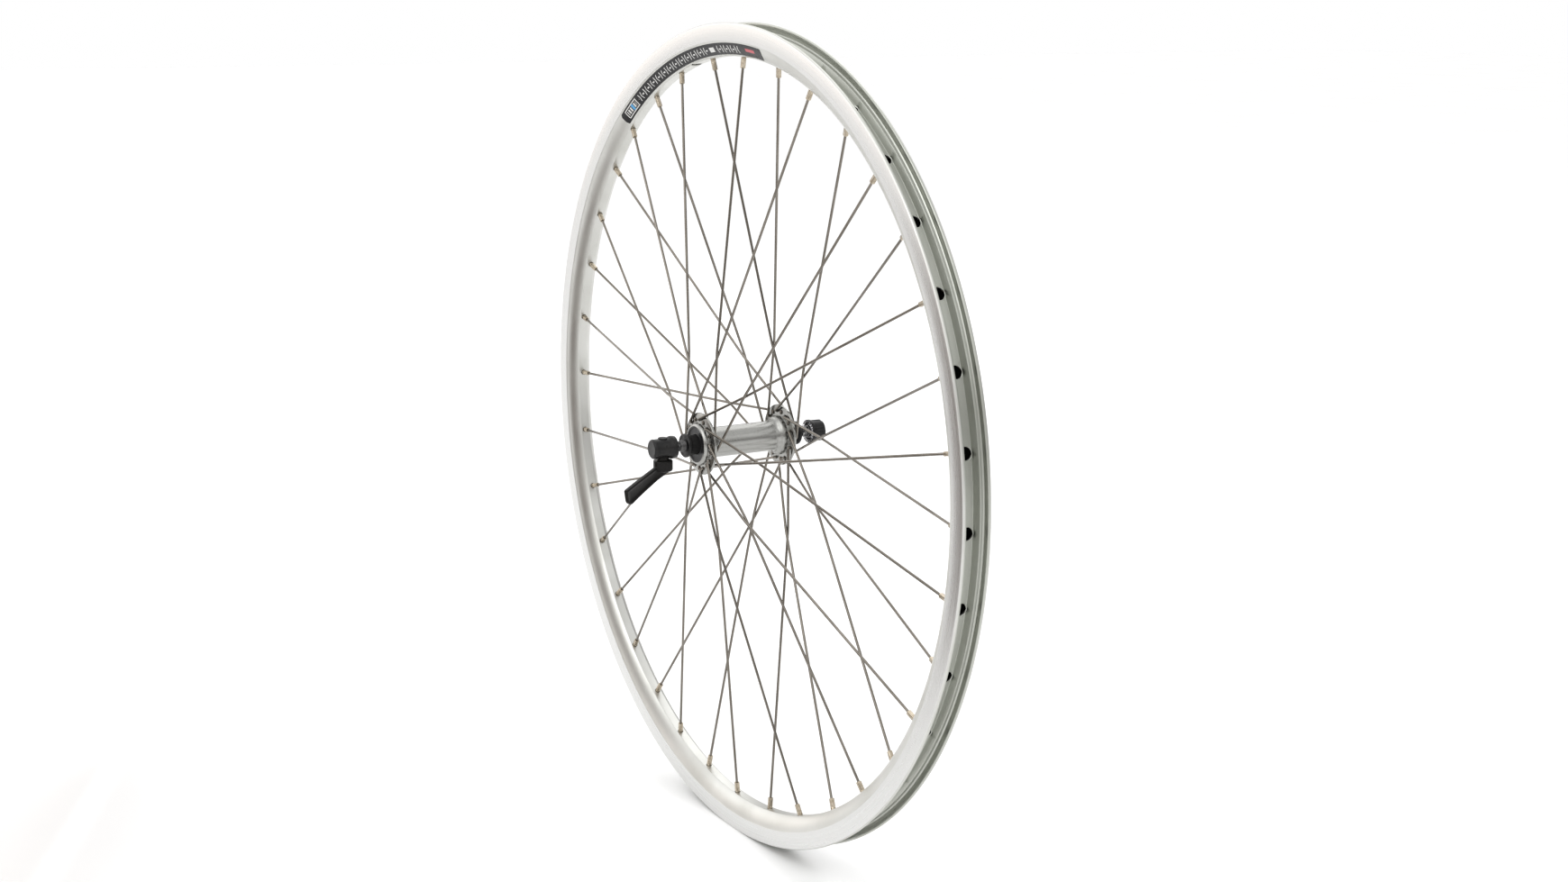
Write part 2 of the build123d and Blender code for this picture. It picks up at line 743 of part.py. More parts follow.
def make_skewer_rod():
    """The rod, with the slotted eye that the cam pulls on."""
    pin_y = -cam_axis_y + cam_offset * sin(radians(cam_rest_angle))
    slot_half_length = cam_pin_radius + 0.55
    slot_low_x = -(cam_offset + cam_pin_radius + 0.2)
    slot_high_x = cam_pin_radius + 0.2
    eye_wall = 1.6
    eye_start = pin_y - slot_half_length - eye_wall
    eye_end = pin_y + slot_half_length + eye_wall
    eye = tube(0, housing_bore_radius - 0.3, eye_start, eye_end)
    eye = eye & Pos(0, (eye_start + eye_end) / 2, 0) * Box(20, 20, 2 * rod_head_half_height)
    slot = Pos((slot_low_x + slot_high_x) / 2, pin_y, 0) * extrude(
        RectangleRounded(slot_high_x - slot_low_x, 2 * slot_half_length, 1.5), amount=10, both=True)
    bar = turned(
        (0, eye_end - 0.5), (rod_radius, eye_end - 0.5), (rod_radius, rod_end_y - 0.7),
        (rod_radius - 0.7, rod_end_y), (0, rod_end_y))
    return (eye - slot) + bar


def make_nut():
    """The adjusting nut: a lobed knob with a counterbore for its clamping ring."""
    end = nut_face_y + nut_length
    start = nut_face_y + 0.2
    body = turned(
        (0, start),
        (nut_radius + 0.6, start),
        (nut_radius + 0.6, start + 1.9),
        ((nut_radius + 0.35, start + 2.4), (nut_radius, start + 2.7)),
        (nut_radius - 0.2, end - 1.8),
        ((nut_radius - 0.6, end - 0.6), (nut_radius - 1.7, end)),
        (0, end),
    )
    counterbore = tube(0, ring_outer_radius + face_clearance, start - 1,
                       nut_face_y + clamp_ring_thickness + face_clearance)
    recess = tube(0, spring_recess_radius, start - 1, nut_face_y + nut_recess_depth)
    thread = tube(0, rod_radius + seat_clearance, start, end + 1)
    flutes = []
    for number in range(nut_lobes):
        place = polar(nut_radius + nut_flute_radius / 2, number * 360 / nut_lobes + 20, start + 3.2)
        flute = Rot(-90, 0, 0) * extrude(Circle(nut_flute_radius), amount=nut_length)
        flutes.append(Pos(place) * flute)
    return body - counterbore - recess - thread - flutes


def make_spring(small_end_y, large_end_y):
    """A conical spring: its small coil at the axle, its large coil in the clamp's recess."""
    small = rod_radius + spring_wire_radius + 0.4
    large = spring_recess_radius - spring_wire_radius - 0.2
    towards = 1 if large_end_y > small_end_y else -1
    gap = spring_wire_radius + seat_clearance
    height = abs(large_end_y - small_end_y) - 2 * gap
    cone_angle = degrees(asin((large - small) / sqrt((large - small)**2 + height**2)))
    coil = Helix(height / spring_turns, height, small, cone_angle=cone_angle)
    start = Plane(origin=coil @ 0, z_dir=coil % 0)
    wire = sweep(start * Circle(spring_wire_radius), path=coil, is_frenet=True)
    return Pos(0, small_end_y + towards * gap, 0) * Rot(-90 * towards, 0, 0) * wire


# ---------------------------------------------------------------- all the pieces

def all_parts():
    """Every piece by its name."""
    spoke_lines = []
    for side, first, way, outside in spoke_sets.values():
        for hole in range(first, spoke_count, 4):
            spoke_lines.append(spoke_line(side, hole, way, outside))
    parts = {
        "rim": make_rim(spoke_lines),
        "rim_joint_sleeve": make_joint_sleeve(),
        "rim_decal": make_decal(),
        "hub_shell": make_hub_shell(),
        "hollow_axle": make_axle(),
    }
    for name, spoke_set in spoke_sets.items():
        parts[name] = make_spoke_set(*spoke_set)
    parts["lever_side_nipples"] = make_nipples(-1)
    parts["nut_side_nipples"] = make_nipples(1)
    nut_side = {
        "bearing_cup": make_cup(),
        "ball_retainer": make_retainer(),
        "dust_cap": make_dust_cap(),
        "cone": make_cone(),
        "washer": make_washer(),
        "locknut": make_locknut(),
        "rubber_boot": make_boot(),
    }
    for name, part in nut_side.items():
        parts["nut_side_" + name] = part
        parts["lever_side_" + name] = other_side(part)
    parts["nut_side_bearing_balls"] = make_balls(1)
    parts["lever_side_bearing_balls"] = make_balls(-1)
    parts["cam_housing"] = make_cam_housing()
    parts["housing_end_cap"] = make_end_cap()
    parts["lever_side_clamp_ring"] = other_side(make_clamp_ring(clamp_face_y))
    parts["lever_side_spring"] = make_spring(-axle_end_y, -(clamp_face_y + spring_recess_depth))
    parts["quick_release_lever"] = make_lever()
    parts["skewer_rod"] = make_skewer_rod()
    parts["nut_clamp_ring"] = make_clamp_ring(nut_face_y)
    parts["nut_side_spring"] = make_spring(axle_end_y, nut_face_y + nut_recess_depth)
    parts["adjusting_nut"] = make_nut()
    return parts


os.makedirs("parts", exist_ok=True)
for part_name, part in all_parts().items():
    export_step(part, f"parts/{part_name}.step")
    print(part_name, round(part.volume, 2))
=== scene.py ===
# %% [markdown]
# # A quick-release front wheel
# The wheel is a silver box-section rim, thirty-six crossed spokes, a polished hub on a hollow
# axle, and a black quick-release skewer. It could be modelled freely by eye, but then nothing
# would meet or turn as it should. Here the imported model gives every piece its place, so it is
# loaded first as a fixed frame, and each visible piece is then built round it in finer detail.

# %% Load the frame
from math import acos, atan2, cos, degrees, hypot, pi, radians, sin, sqrt, tan

import bpy
from mathutils import Matrix, Vector


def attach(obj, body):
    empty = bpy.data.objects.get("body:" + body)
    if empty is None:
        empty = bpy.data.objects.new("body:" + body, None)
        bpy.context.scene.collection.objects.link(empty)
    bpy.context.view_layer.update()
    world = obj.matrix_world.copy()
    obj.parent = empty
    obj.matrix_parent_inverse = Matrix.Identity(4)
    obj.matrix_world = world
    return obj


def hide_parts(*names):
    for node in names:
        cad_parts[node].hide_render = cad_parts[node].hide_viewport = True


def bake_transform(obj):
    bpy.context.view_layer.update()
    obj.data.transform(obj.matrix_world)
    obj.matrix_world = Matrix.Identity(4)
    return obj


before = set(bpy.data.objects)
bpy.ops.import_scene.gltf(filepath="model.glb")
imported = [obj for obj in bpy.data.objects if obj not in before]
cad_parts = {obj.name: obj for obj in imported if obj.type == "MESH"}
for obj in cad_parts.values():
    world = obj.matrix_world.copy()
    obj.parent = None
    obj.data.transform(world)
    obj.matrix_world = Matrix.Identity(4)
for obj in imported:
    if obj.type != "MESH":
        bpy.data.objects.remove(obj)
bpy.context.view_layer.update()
MM = 0.001

# %% [markdown]
# ## Sizes
# A wheelbuilder works from a few numbers: the rim's bead seat and height, the hub's flanges and
# the lacing. They could be typed in wherever a point needs them, but a change would then be missed
# somewhere. The ones that several pieces share are named here, in millimetres as on a drawing,
# and become metres only in a mesh. A size that only one piece uses is named beside that piece.

# %% Sizes of the rim, the lacing and the hub
BEAD_SEAT = 311.0
RIM_TOP = 317.5
RIM_BED = 292.6
TRACK_BOTTOM = 304.0
RIM_FLOOR = 306.0
RIM_HALF = 11.3
WALL_HALF = 10.95
BED_HALF = 3.6
WELL_HALF = 4.2
SPOKES = 36
HOLE_STEP = 360 / SPOKES
FIRST_HOLE = 108.5
VALVE_ANGLE = FIRST_HOLE - HOLE_STEP / 2
LACING_ANGLE = 60.0
FLANGE_INNER = 33.7
FLANGE_OUTER = 36.7
SPOKE_CIRCLE = 19.0
SHELL_END = FLANGE_OUTER + 3.7
LOCKNUT_FACE = 50.0
AXLE_END = 54.0
CLAMP_FACE = 58.4
CAM_Y = 68.0
HOUSING_END = 77.7
NUT_FACE = 59.9
print("spokes:", SPOKES, "rim height:", round(RIM_TOP - RIM_BED, 1), "mm")

# %% [markdown]
# ## Drawing a section
# Turned and extruded parts are easiest to describe by their section: a closed line of points
# (distance from the axle, place along it). A curve object could hold it, but a list of points is
# easier to compute from sizes. A step of one point is a straight run, and a step of two points is
# an arc through the first to the second. Real corners are never knife sharp, and a tiny round on
# each is what catches the light, so a second helper softens them.


# %% Section helpers
def arc_points(a, b, c, count):
    """Points on the circle through a, b and c, from a (left out) to c."""
    ax, ay, bx, by, cx, cy = *a, *b, *c
    d = 2 * (ax * (by - cy) + bx * (cy - ay) + cx * (ay - by))
    if abs(d) < 1e-9:
        return [c]
    sa, sb, sc = ax * ax + ay * ay, bx * bx + by * by, cx * cx + cy * cy
    ox = (sa * (by - cy) + sb * (cy - ay) + sc * (ay - by)) / d
    oy = (sa * (cx - bx) + sb * (ax - cx) + sc * (bx - ax)) / d
    radius = sqrt((ax - ox)**2 + (ay - oy)**2)
    first = atan2(ay - oy, ax - ox)
    middle = (atan2(by - oy, bx - ox) - first) % (2 * pi)
    last = (atan2(cy - oy, cx - ox) - first) % (2 * pi)
    if middle > last:
        last -= 2 * pi
    angles = [first + last * n / count for n in range(1, count + 1)]
    return [(ox + radius * cos(angle), oy + radius * sin(angle)) for angle in angles]


def section(start, *steps, arc=6):
    """A closed line of points from straight runs and arcs."""
    points = [start]
    for step in steps:
        if isinstance(step[0], tuple):
            points += arc_points(points[-1], step[0], step[1], arc)
        else:
            points.append(step)
    return points


def soften(points, size, steps=3, turn_limit=25):
    """Rounds each corner that turns by more than a few degrees, away from the axis."""
    soft = []
    for n, corner in enumerate(points):
        before, after = Vector(points[n - 1]), Vector(points[(n + 1) % len(points)])
        here = Vector(corner)
        into, out = here - before, after - here
        on_axis = corner[0] < 1e-6
        if on_axis or into.length < 1e-6 or out.length < 1e-6 \
                or degrees(into.angle(out)) < turn_limit:
            soft.append(corner)
            continue
        reach = min(size, 0.42 * into.length, 0.42 * out.length)
        p0, p2 = here - into.normalized() * reach, here + out.normalized() * reach
        for k in range(steps + 1):
            t = k / steps
            p = p0 * (1 - t)**2 + here * (2 * t * (1 - t)) + p2 * t**2
            soft.append((p.x, p.y))
    return soft


def mirrored(points):
    """The same section on the other side of the wheel."""
    return [(r, -y) for r, y in reversed(points)]


def both_halves(points):
    """A section drawn from the middle plane out, joined to its mirror image."""
    return points + [p for p in mirrored(points) if abs(p[1]) > 1e-9]


def polar(radius, angle, y=0.0):
    """A point round the axle; the angle runs from +X towards +Z."""
    return Vector((radius * cos(radians(angle)), y, radius * sin(radians(angle))))


print("a softened square has", len(soften([(1, 0), (2, 0), (2, 1), (1, 1)], 0.2)), "points")

# %% [markdown]
# ## Small tools for node trees
# Geometry Nodes and shader nodes are both trees of boxes and wires. They could be drawn by hand
# in the editor, but a tree written out can be read, checked and changed like the rest. These
# helpers add a box, set its options, and join wires in one line, so that the trees below read
# like a recipe. Every tree of shapes ends the same way, so that end is written once too.


# %% Node helpers
def add_node(tree, kind, inputs=None, **options):
    """One node, with its options and its input values or wires."""
    node = tree.nodes.new(kind)
    for key, value in options.items():
        setattr(node, key, value)
    for key, value in (inputs or {}).items():
        socket = node.inputs[key]
        if isinstance(value, bpy.types.NodeSocket):
            tree.links.new(value, socket)
        else:
            socket.default_value = value
    return node


def math_node(tree, operation, *values, clamp=False):
    """The result of one sum."""
    node = add_node(tree, "ShaderNodeMath", dict(enumerate(values)), operation=operation)
    node.use_clamp = clamp
    return node.outputs[0]


def new_tree(name, kind, inputs, outputs):
    """An empty node group with named inputs and outputs."""
    tree = bpy.data.node_groups.new(name, kind)
    for label, socket_type, value in inputs:
        socket = tree.interface.new_socket(label, in_out="INPUT", socket_type=socket_type)
        if value is not None:
            socket.default_value = value
    for label, socket_type in outputs:
        tree.interface.new_socket(label, in_out="OUTPUT", socket_type=socket_type)
    given = tree.nodes.new("NodeGroupInput").outputs
    result = tree.nodes.new("NodeGroupOutput").inputs
    return tree, given, result


def new_mesh(name, points, faces=()):
    """A mesh from points in metres."""
    mesh = bpy.data.meshes.new(name)
    mesh.from_pydata(points, [], faces)
    return mesh


def put_in_scene(name, mesh_or_curve):
    """An object at the origin that holds this mesh or curve."""
    made = bpy.data.objects.new(name, mesh_or_curve)
    bpy.context.scene.collection.objects.link(made)
    return made


def end_tree(tree, geometry, material, result):
    """The end that every tree shares: real geometry, shaded smooth, with its material."""
    real = add_node(tree, "GeometryNodeRealizeInstances", {0: geometry})
    smooth = add_node(tree, "GeometryNodeSetShadeSmooth", {0: real.outputs[0]})
    painted = add_node(tree, "GeometryNodeSetMaterial", {
        "Geometry": smooth.outputs[0], "Material": material})
    tree.links.new(painted.outputs[0], result[0])
    return tree


def swept_wire(tree, path, radius, sides):
    """Round wire along a path, with both ends closed."""
    ring = add_node(tree, "GeometryNodeCurvePrimitiveCircle", {
        "Radius": radius, "Resolution": sides})
    return add_node(tree, "GeometryNodeCurveToMesh", {
        "Curve": path, "Profile Curve": ring.outputs[0], "Fill Caps": True}).outputs[0]


# %% From a tree to a plain mesh
def volume(mesh):
    """Signed volume, which is negative when a skin is inside out."""
    mesh.calc_loop_triangles()
    corners = ([mesh.vertices[n].co for n in t.vertices] for t in mesh.loop_triangles)
    return sum(a.dot(b.cross(c)) for a, b, c in corners) / 6


def run_trees(name, start, steps, sharp=32):
    """Runs node trees one after another and keeps the result as a plain mesh."""
    base = put_in_scene(name, start)
    for tree, values in steps:
        modifier = base.modifiers.new(tree.name, "NODES")
        modifier.node_group = tree
        for item in tree.interface.items_tree:
            if item.in_out == "INPUT" and item.name in values:
                modifier[item.identifier] = values[item.name]
    bpy.context.view_layer.update()
    graph = bpy.context.evaluated_depsgraph_get()
    mesh = bpy.data.meshes.new_from_object(base.evaluated_get(graph))
    base.modifiers.clear()
    bpy.data.objects.remove(base)
    mesh.name = name
    used = [material for material in mesh.materials if material]
    mesh.materials.clear()
    for material in used[-1:]:
        mesh.materials.append(material)
    mesh.polygons.foreach_set("material_index", [0] * len(mesh.polygons))
    mesh.set_sharp_from_angle(angle=radians(sharp))
    made = put_in_scene(name, mesh)
    print(f"{name}: {len(mesh.polygons)} faces, {volume(mesh) * 1e6:.2f} cm3")
    return made


def drop(*helpers):
    """Removes objects that were only needed while making a piece."""
    for helper in helpers:
        bpy.data.objects.remove(helper)


print("plain meshes so far:", len(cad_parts), "from the model")

# %% [markdown]
# ## Turning on a lathe with Geometry Nodes
# Most of a wheel is turned: the rim is one section swept round the axle, and so are the hub, its
# caps and nuts. A Screw modifier or the Spin tool could do it, but neither can press teeth or mill
# flutes. One tree serves all the pieces here. It bends a flat grid into a ring, and reads each
# point's radius and place along the axle from the section. More inputs press teeth into an end
# face and mill flutes down the side, for the clamp rings and the finger grip of the nut.


# %% The lathe tree
def make_lathe_tree():
    tree, given, result = new_tree(
        "Turn on the axle", "GeometryNodeTree",
        [("Geometry", "NodeSocketGeometry", None), ("Section", "NodeSocketObject", None),
         ("Points", "NodeSocketInt", 4), ("Segments", "NodeSocketInt", 96),
         ("Teeth", "NodeSocketInt", 0), ("Tooth Height", "NodeSocketFloat", 0.0),
         ("Flutes", "NodeSocketInt", 0), ("Flute Depth", "NodeSocketFloat", 0.0),
         ("Flute Width", "NodeSocketFloat", 0.2), ("Flute Start", "NodeSocketFloat", 0.0),
         ("Material", "NodeSocketMaterial", None)],
        [("Geometry", "NodeSocketGeometry")])
    one_more = lambda value: math_node(tree, "ADD", value, 1.0)
    grid = add_node(tree, "GeometryNodeMeshGrid", {
        "Size X": 1.0, "Size Y": 1.0,
        "Vertices X": one_more(given["Segments"]), "Vertices Y": one_more(given["Points"])})
    place = add_node(tree, "ShaderNodeSeparateXYZ", {0: add_node(
        tree, "GeometryNodeInputPosition").outputs[0]})
    turn = math_node(tree, "ADD", place.outputs[0], 0.5)
    along = math_node(tree, "MULTIPLY", math_node(tree, "ADD", place.outputs[1], 0.5),
                      given["Points"])
    index = math_node(tree, "MODULO", math_node(tree, "ROUND", along), given["Points"])
    drawn = add_node(tree, "GeometryNodeObjectInfo", {"Object": given["Section"]})

    def sampled(kind, value):
        node = add_node(tree, "GeometryNodeSampleIndex", data_type=kind, domain="POINT")
        tree.links.new(drawn.outputs["Geometry"], node.inputs["Geometry"])
        tree.links.new(value, node.inputs["Value"])
        tree.links.new(index, node.inputs["Index"])
        return node.outputs[0]

    def named(label):
        return add_node(tree, "GeometryNodeInputNamedAttribute", {"Name": label},
                        data_type="FLOAT").outputs[0]

    spot = add_node(tree, "ShaderNodeSeparateXYZ", {0: sampled(
        "FLOAT_VECTOR", add_node(tree, "GeometryNodeInputPosition").outputs[0])})

    def distance_to_next(count, start):
        phase = math_node(tree, "FRACT", math_node(
            tree, "ADD", math_node(tree, "MULTIPLY", turn, count), start))
        return math_node(tree, "ABSOLUTE", math_node(tree, "SUBTRACT", phase, 0.5))

    tooth = math_node(tree, "MULTIPLY", distance_to_next(given["Teeth"], 0.0), 2.0)
    tooth = math_node(tree, "MULTIPLY", tooth, math_node(
        tree, "MULTIPLY", sampled("FLOAT", named("tooth")), given["Tooth Height"]))
    reach = math_node(tree, "DIVIDE", distance_to_next(given["Flutes"], given["Flute Start"]),
                      given["Flute Width"])
    scoop = math_node(tree, "SUBTRACT", 1.0, math_node(tree, "MULTIPLY", reach, reach), clamp=True)
    scoop = math_node(tree, "MULTIPLY", scoop, math_node(
        tree, "MULTIPLY", sampled("FLOAT", named("flute")), given["Flute Depth"]))
    radius = math_node(tree, "SUBTRACT", spot.outputs[0], scoop)
    angle = math_node(tree, "MULTIPLY", turn, 2 * pi)
    bent = add_node(tree, "ShaderNodeCombineXYZ", {
        0: math_node(tree, "MULTIPLY", radius, math_node(tree, "COSINE", angle)),
        1: math_node(tree, "ADD", spot.outputs[1], tooth),
        2: math_node(tree, "MULTIPLY", radius, math_node(tree, "SINE", angle))})
    ring = add_node(tree, "GeometryNodeSetPosition", {
        "Geometry": grid.outputs["Mesh"], "Position": bent.outputs[0]})
    closed = add_node(tree, "GeometryNodeMergeByDistance", {
        "Geometry": ring.outputs[0], "Distance": 0.002 * MM})
    return end_tree(tree, closed.outputs[0], given["Material"], result)


LATHE = make_lathe_tree()
print("lathe tree:", len(LATHE.nodes), "nodes")


# %% Turning one piece
def section_object(points, tooth=None, flute=None):
    """A section as a mesh of points in metres, with how far each takes part in teeth or flutes."""
    area = sum(a[0] * b[1] - b[0] * a[1] for a, b in zip(points, points[1:] + points[:1]))
    if area > 0:
        points = list(reversed(points))
    mesh = new_mesh("section", [(r * MM, y * MM, 0) for r, y in points])
    for label, rule in (("tooth", tooth), ("flute", flute)):
        layer = mesh.attributes.new(label, "FLOAT", "POINT")
        layer.data.foreach_set("value", [float(rule(r, y)) if rule else 0.0 for r, y in points])
    return put_in_scene("section", mesh)


def turned(name, points, material, segments=128, tooth=None, flute=None, sharp=32, **extra):
    """A piece turned about the axle from its section, by the lathe tree."""
    drawn = section_object(points, tooth, flute)
    values = {"Section": drawn, "Points": len(points), "Segments": segments, "Material": material}
    values.update({key.replace("_", " ").title(): value for key, value in extra.items()})
    made = run_trees(name, bpy.data.meshes.new(name), [(LATHE, values)], sharp)
    drop(drawn)
    return made


# %% [markdown]
# ## Drilling holes with Geometry Nodes
# A rim has a hole for each spoke, and a hub flange has one for each too. A Boolean modifier for
# each hole would be slow and hard to follow. A drill is a turned piece, and this tree places one at
# each marked point, turned the way the point says, and takes them all out with a single Boolean.
# The same tree can weld its tools on, or only set them out.


# %% The drilling tree
def make_placing_tree(name, boolean=None):
    """Places a tool at every marked point, and then cuts it out of the piece or welds it on."""
    tree, given, result = new_tree(
        name, "GeometryNodeTree",
        [("Geometry", "NodeSocketGeometry", None), ("Places", "NodeSocketObject", None),
         ("Tool", "NodeSocketObject", None), ("Material", "NodeSocketMaterial", None)],
        [("Geometry", "NodeSocketGeometry")])
    places = add_node(tree, "GeometryNodeObjectInfo", {"Object": given["Places"]})
    tool = add_node(tree, "GeometryNodeObjectInfo", {"Object": given["Tool"]})

    def direction(label):
        return add_node(tree, "GeometryNodeInputNamedAttribute", {"Name": label},
                        data_type="FLOAT_VECTOR").outputs[0]

    facing = add_node(tree, "FunctionNodeAxesToRotation", {
        "Primary Axis": direction("way"), "Secondary Axis": direction("side")},
        primary_axis="Y", secondary_axis="X")
    set_out = add_node(tree, "GeometryNodeInstanceOnPoints", {
        "Points": places.outputs["Geometry"], "Instance": tool.outputs["Geometry"],
        "Rotation": facing.outputs[0]})
    last = set_out.outputs[0]
    if boolean:
        tools = add_node(tree, "GeometryNodeRealizeInstances", {0: last})
        joined = add_node(tree, "GeometryNodeMeshBoolean", operation=boolean, solver="MANIFOLD")
        tree.links.new(given["Geometry"], joined.inputs[0 if boolean == "DIFFERENCE" else 1])
        tree.links.new(tools.outputs[0], joined.inputs[1])
        last = joined.outputs[0]
    return end_tree(tree, last, given["Material"], result)


DRILL = make_placing_tree("Drill at the marks", "DIFFERENCE")
WELD = make_placing_tree("Weld on at the marks", "UNION")
SET_OUT = make_placing_tree("Set out copies at the marks")


def marks(places):
    """Points with the way a tool faces there: (point in mm, facing, sideways)."""
    mesh = new_mesh("marks", [Vector(point) * MM for point, _, _ in places])
    for label, column in (("way", 1), ("side", 2)):
        layer = mesh.attributes.new(label, "FLOAT_VECTOR", "POINT")
        layer.data.foreach_set("vector", [c for place in places for c in place[column]])
    return put_in_scene("marks", mesh)


def worked(piece, material, jobs, sharp=32):
    """Works on a piece with tools at their marks; a job is (tree, tool, marks)."""
    name, start = piece.name, piece.data
    drop(piece)
    made = run_trees(name, start, [
        (tree, {"Places": where, "Tool": tool, "Material": material})
        for tree, tool, where in jobs], sharp)
    drop(*{helper for job in jobs for helper in job[1:]})
    return made


print("drilling tree:", len(DRILL.nodes), "nodes")

# %% [markdown]
# ## Finishes that several materials share
# Machined metal shows fine lines the way the tool ran, moulded plastic shows a shallow grain, and
# everything that is handled has blotches and a few scratches. Each material could have its own
# copy of those nodes, but one shader node group for each effect keeps them alike. It gives out a
# mask or a height, and the materials below place it with their own scales.


# %% Turned lines: fine grooves that run round the axle
def make_turned_lines():
    tree, given, result = new_tree(
        "Turned lines", "ShaderNodeTree",
        [("Lines per Millimetre", "NodeSocketFloat", 3.0), ("Waver", "NodeSocketFloat", 4.0)],
        [("Height", "NodeSocketFloat"), ("Radius", "NodeSocketFloat"),
         ("Along", "NodeSocketFloat")])
    spot = add_node(tree, "ShaderNodeSeparateXYZ", {0: add_node(
        tree, "ShaderNodeTexCoord").outputs["Object"]})
    x, y, z = (math_node(tree, "MULTIPLY", spot.outputs[n], 1000.0) for n in range(3))
    radius = math_node(tree, "SQRT", math_node(
        tree, "ADD", math_node(tree, "MULTIPLY", x, x), math_node(tree, "MULTIPLY", z, z)))
    scaled = add_node(tree, "ShaderNodeCombineXYZ", {
        0: math_node(tree, "MULTIPLY", radius, given[0]),
        1: math_node(tree, "MULTIPLY", y, given[0]),
        2: math_node(tree, "MULTIPLY", math_node(tree, "DIVIDE", x, math_node(
            tree, "ADD", math_node(tree, "ABSOLUTE", z), radius)), given[1])})
    noise = add_node(tree, "ShaderNodeTexNoise", {
        "Vector": scaled.outputs[0], "Scale": 1.0, "Detail": 3.0, "Roughness": 0.6})
    tree.links.new(noise.outputs[0], result[0])
    tree.links.new(radius, result[1])
    tree.links.new(math_node(tree, "ABSOLUTE", y), result[2])
    return tree


# %% Handling marks: soft blotches and sparse fine scratches
def make_handling_marks():
    tree, given, result = new_tree(
        "Handling marks", "ShaderNodeTree",
        [("Blotch Size", "NodeSocketFloat", 12.0), ("Scratch Size", "NodeSocketFloat", 2.0)],
        [("Blotches", "NodeSocketFloat"), ("Scratches", "NodeSocketFloat")])
    spot = add_node(tree, "ShaderNodeTexCoord").outputs["Object"]
    per_metre = lambda size: math_node(tree, "DIVIDE", 1000.0, size)
    blotch = add_node(tree, "ShaderNodeTexNoise", {
        "Vector": spot, "Scale": per_metre(given[0]), "Detail": 4.0, "Roughness": 0.55})
    bent = add_node(tree, "ShaderNodeTexNoise", {
        "Vector": spot, "Scale": per_metre(given[1]), "Detail": 1.0, "Distortion": 1.5})
    line = math_node(tree, "ABSOLUTE", math_node(tree, "SUBTRACT", bent.outputs[0], 0.5))
    thin = math_node(tree, "SUBTRACT", 1.0, math_node(tree, "MULTIPLY", line, 70.0), clamp=True)
    rare = math_node(tree, "GREATER_THAN", blotch.outputs[0], 0.57)
    tree.links.new(blotch.outputs[0], result[0])
    tree.links.new(math_node(tree, "MULTIPLY", thin, rare), result[1])
    return tree


# %% Moulded grain: the shallow sparkle of moulded plastic, rubber or a powder coat
def make_moulded_grain():
    tree, given, result = new_tree(
        "Moulded grain", "ShaderNodeTree", [("Grain Size", "NodeSocketFloat", 0.3)],
        [("Height", "NodeSocketFloat")])
    spot = add_node(tree, "ShaderNodeTexCoord").outputs["Object"]
    scale = math_node(tree, "DIVIDE", 1000.0, given[0])
    cells = add_node(tree, "ShaderNodeTexVoronoi", {"Vector": spot, "Scale": scale})
    fine = add_node(tree, "ShaderNodeTexNoise", {"Vector": spot, "Scale": scale, "Detail": 2.0})
    tree.links.new(math_node(tree, "ADD", math_node(
        tree, "MULTIPLY", cells.outputs["Distance"], 0.7), fine.outputs[0]), result[0])
    return tree


TURNED_LINES = make_turned_lines()
HANDLING = make_handling_marks()
GRAIN = make_moulded_grain()
print("shared finishes:", TURNED_LINES.name, "/", HANDLING.name, "/", GRAIN.name)


# %% A material from the shared finishes
def place_group(tree, group, **values):
    """A shared finish placed in a material with its own values."""
    node = tree.nodes.new("ShaderNodeGroup")
    node.node_tree = group
    for key, value in values.items():
        node.inputs[key.replace("_", " ")].default_value = value
    return node


def spread(tree, value, low, high, from_low=0.3, from_high=0.7):
    """Maps a mask onto the range a socket needs."""
    return add_node(tree, "ShaderNodeMapRange", {
        0: value, 1: from_low, 2: from_high, 3: low, 4: high}).outputs[0]


def mixed(tree, factor, first, second):
    """A colour between two, by a mask."""
    node = add_node(tree, "ShaderNodeMix", data_type="RGBA")
    for socket, value in zip((node.inputs["Factor"], node.inputs[6], node.inputs[7]),
                             (factor, first, second)):
        if isinstance(value, bpy.types.NodeSocket):
            tree.links.new(value, socket)
        else:
            socket.default_value = (*value, 1.0) if isinstance(value, tuple) else value
    return node.outputs[2]


def blank_material(name, metallic, **sockets):
    """A material with only its Principled shader, and the constants set on its sockets."""
    material = bpy.data.materials.new(name)
    material.use_nodes = True
    tree = material.node_tree
    shader = tree.nodes["Principled BSDF"]
    shader.inputs["Metallic"].default_value = metallic
    for key, value in sockets.items():
        shader.inputs[key.replace("_", " ")].default_value = value
    return material, tree, shader


def bump(tree, height, distance, strength, normal=None):
    """A bump in millimetres."""
    values = {"Height": height, "Distance": distance * MM, "Strength": strength}
    if normal is not None:
        values["Normal"] = normal
    return add_node(tree, "ShaderNodeBump", values).outputs[0]


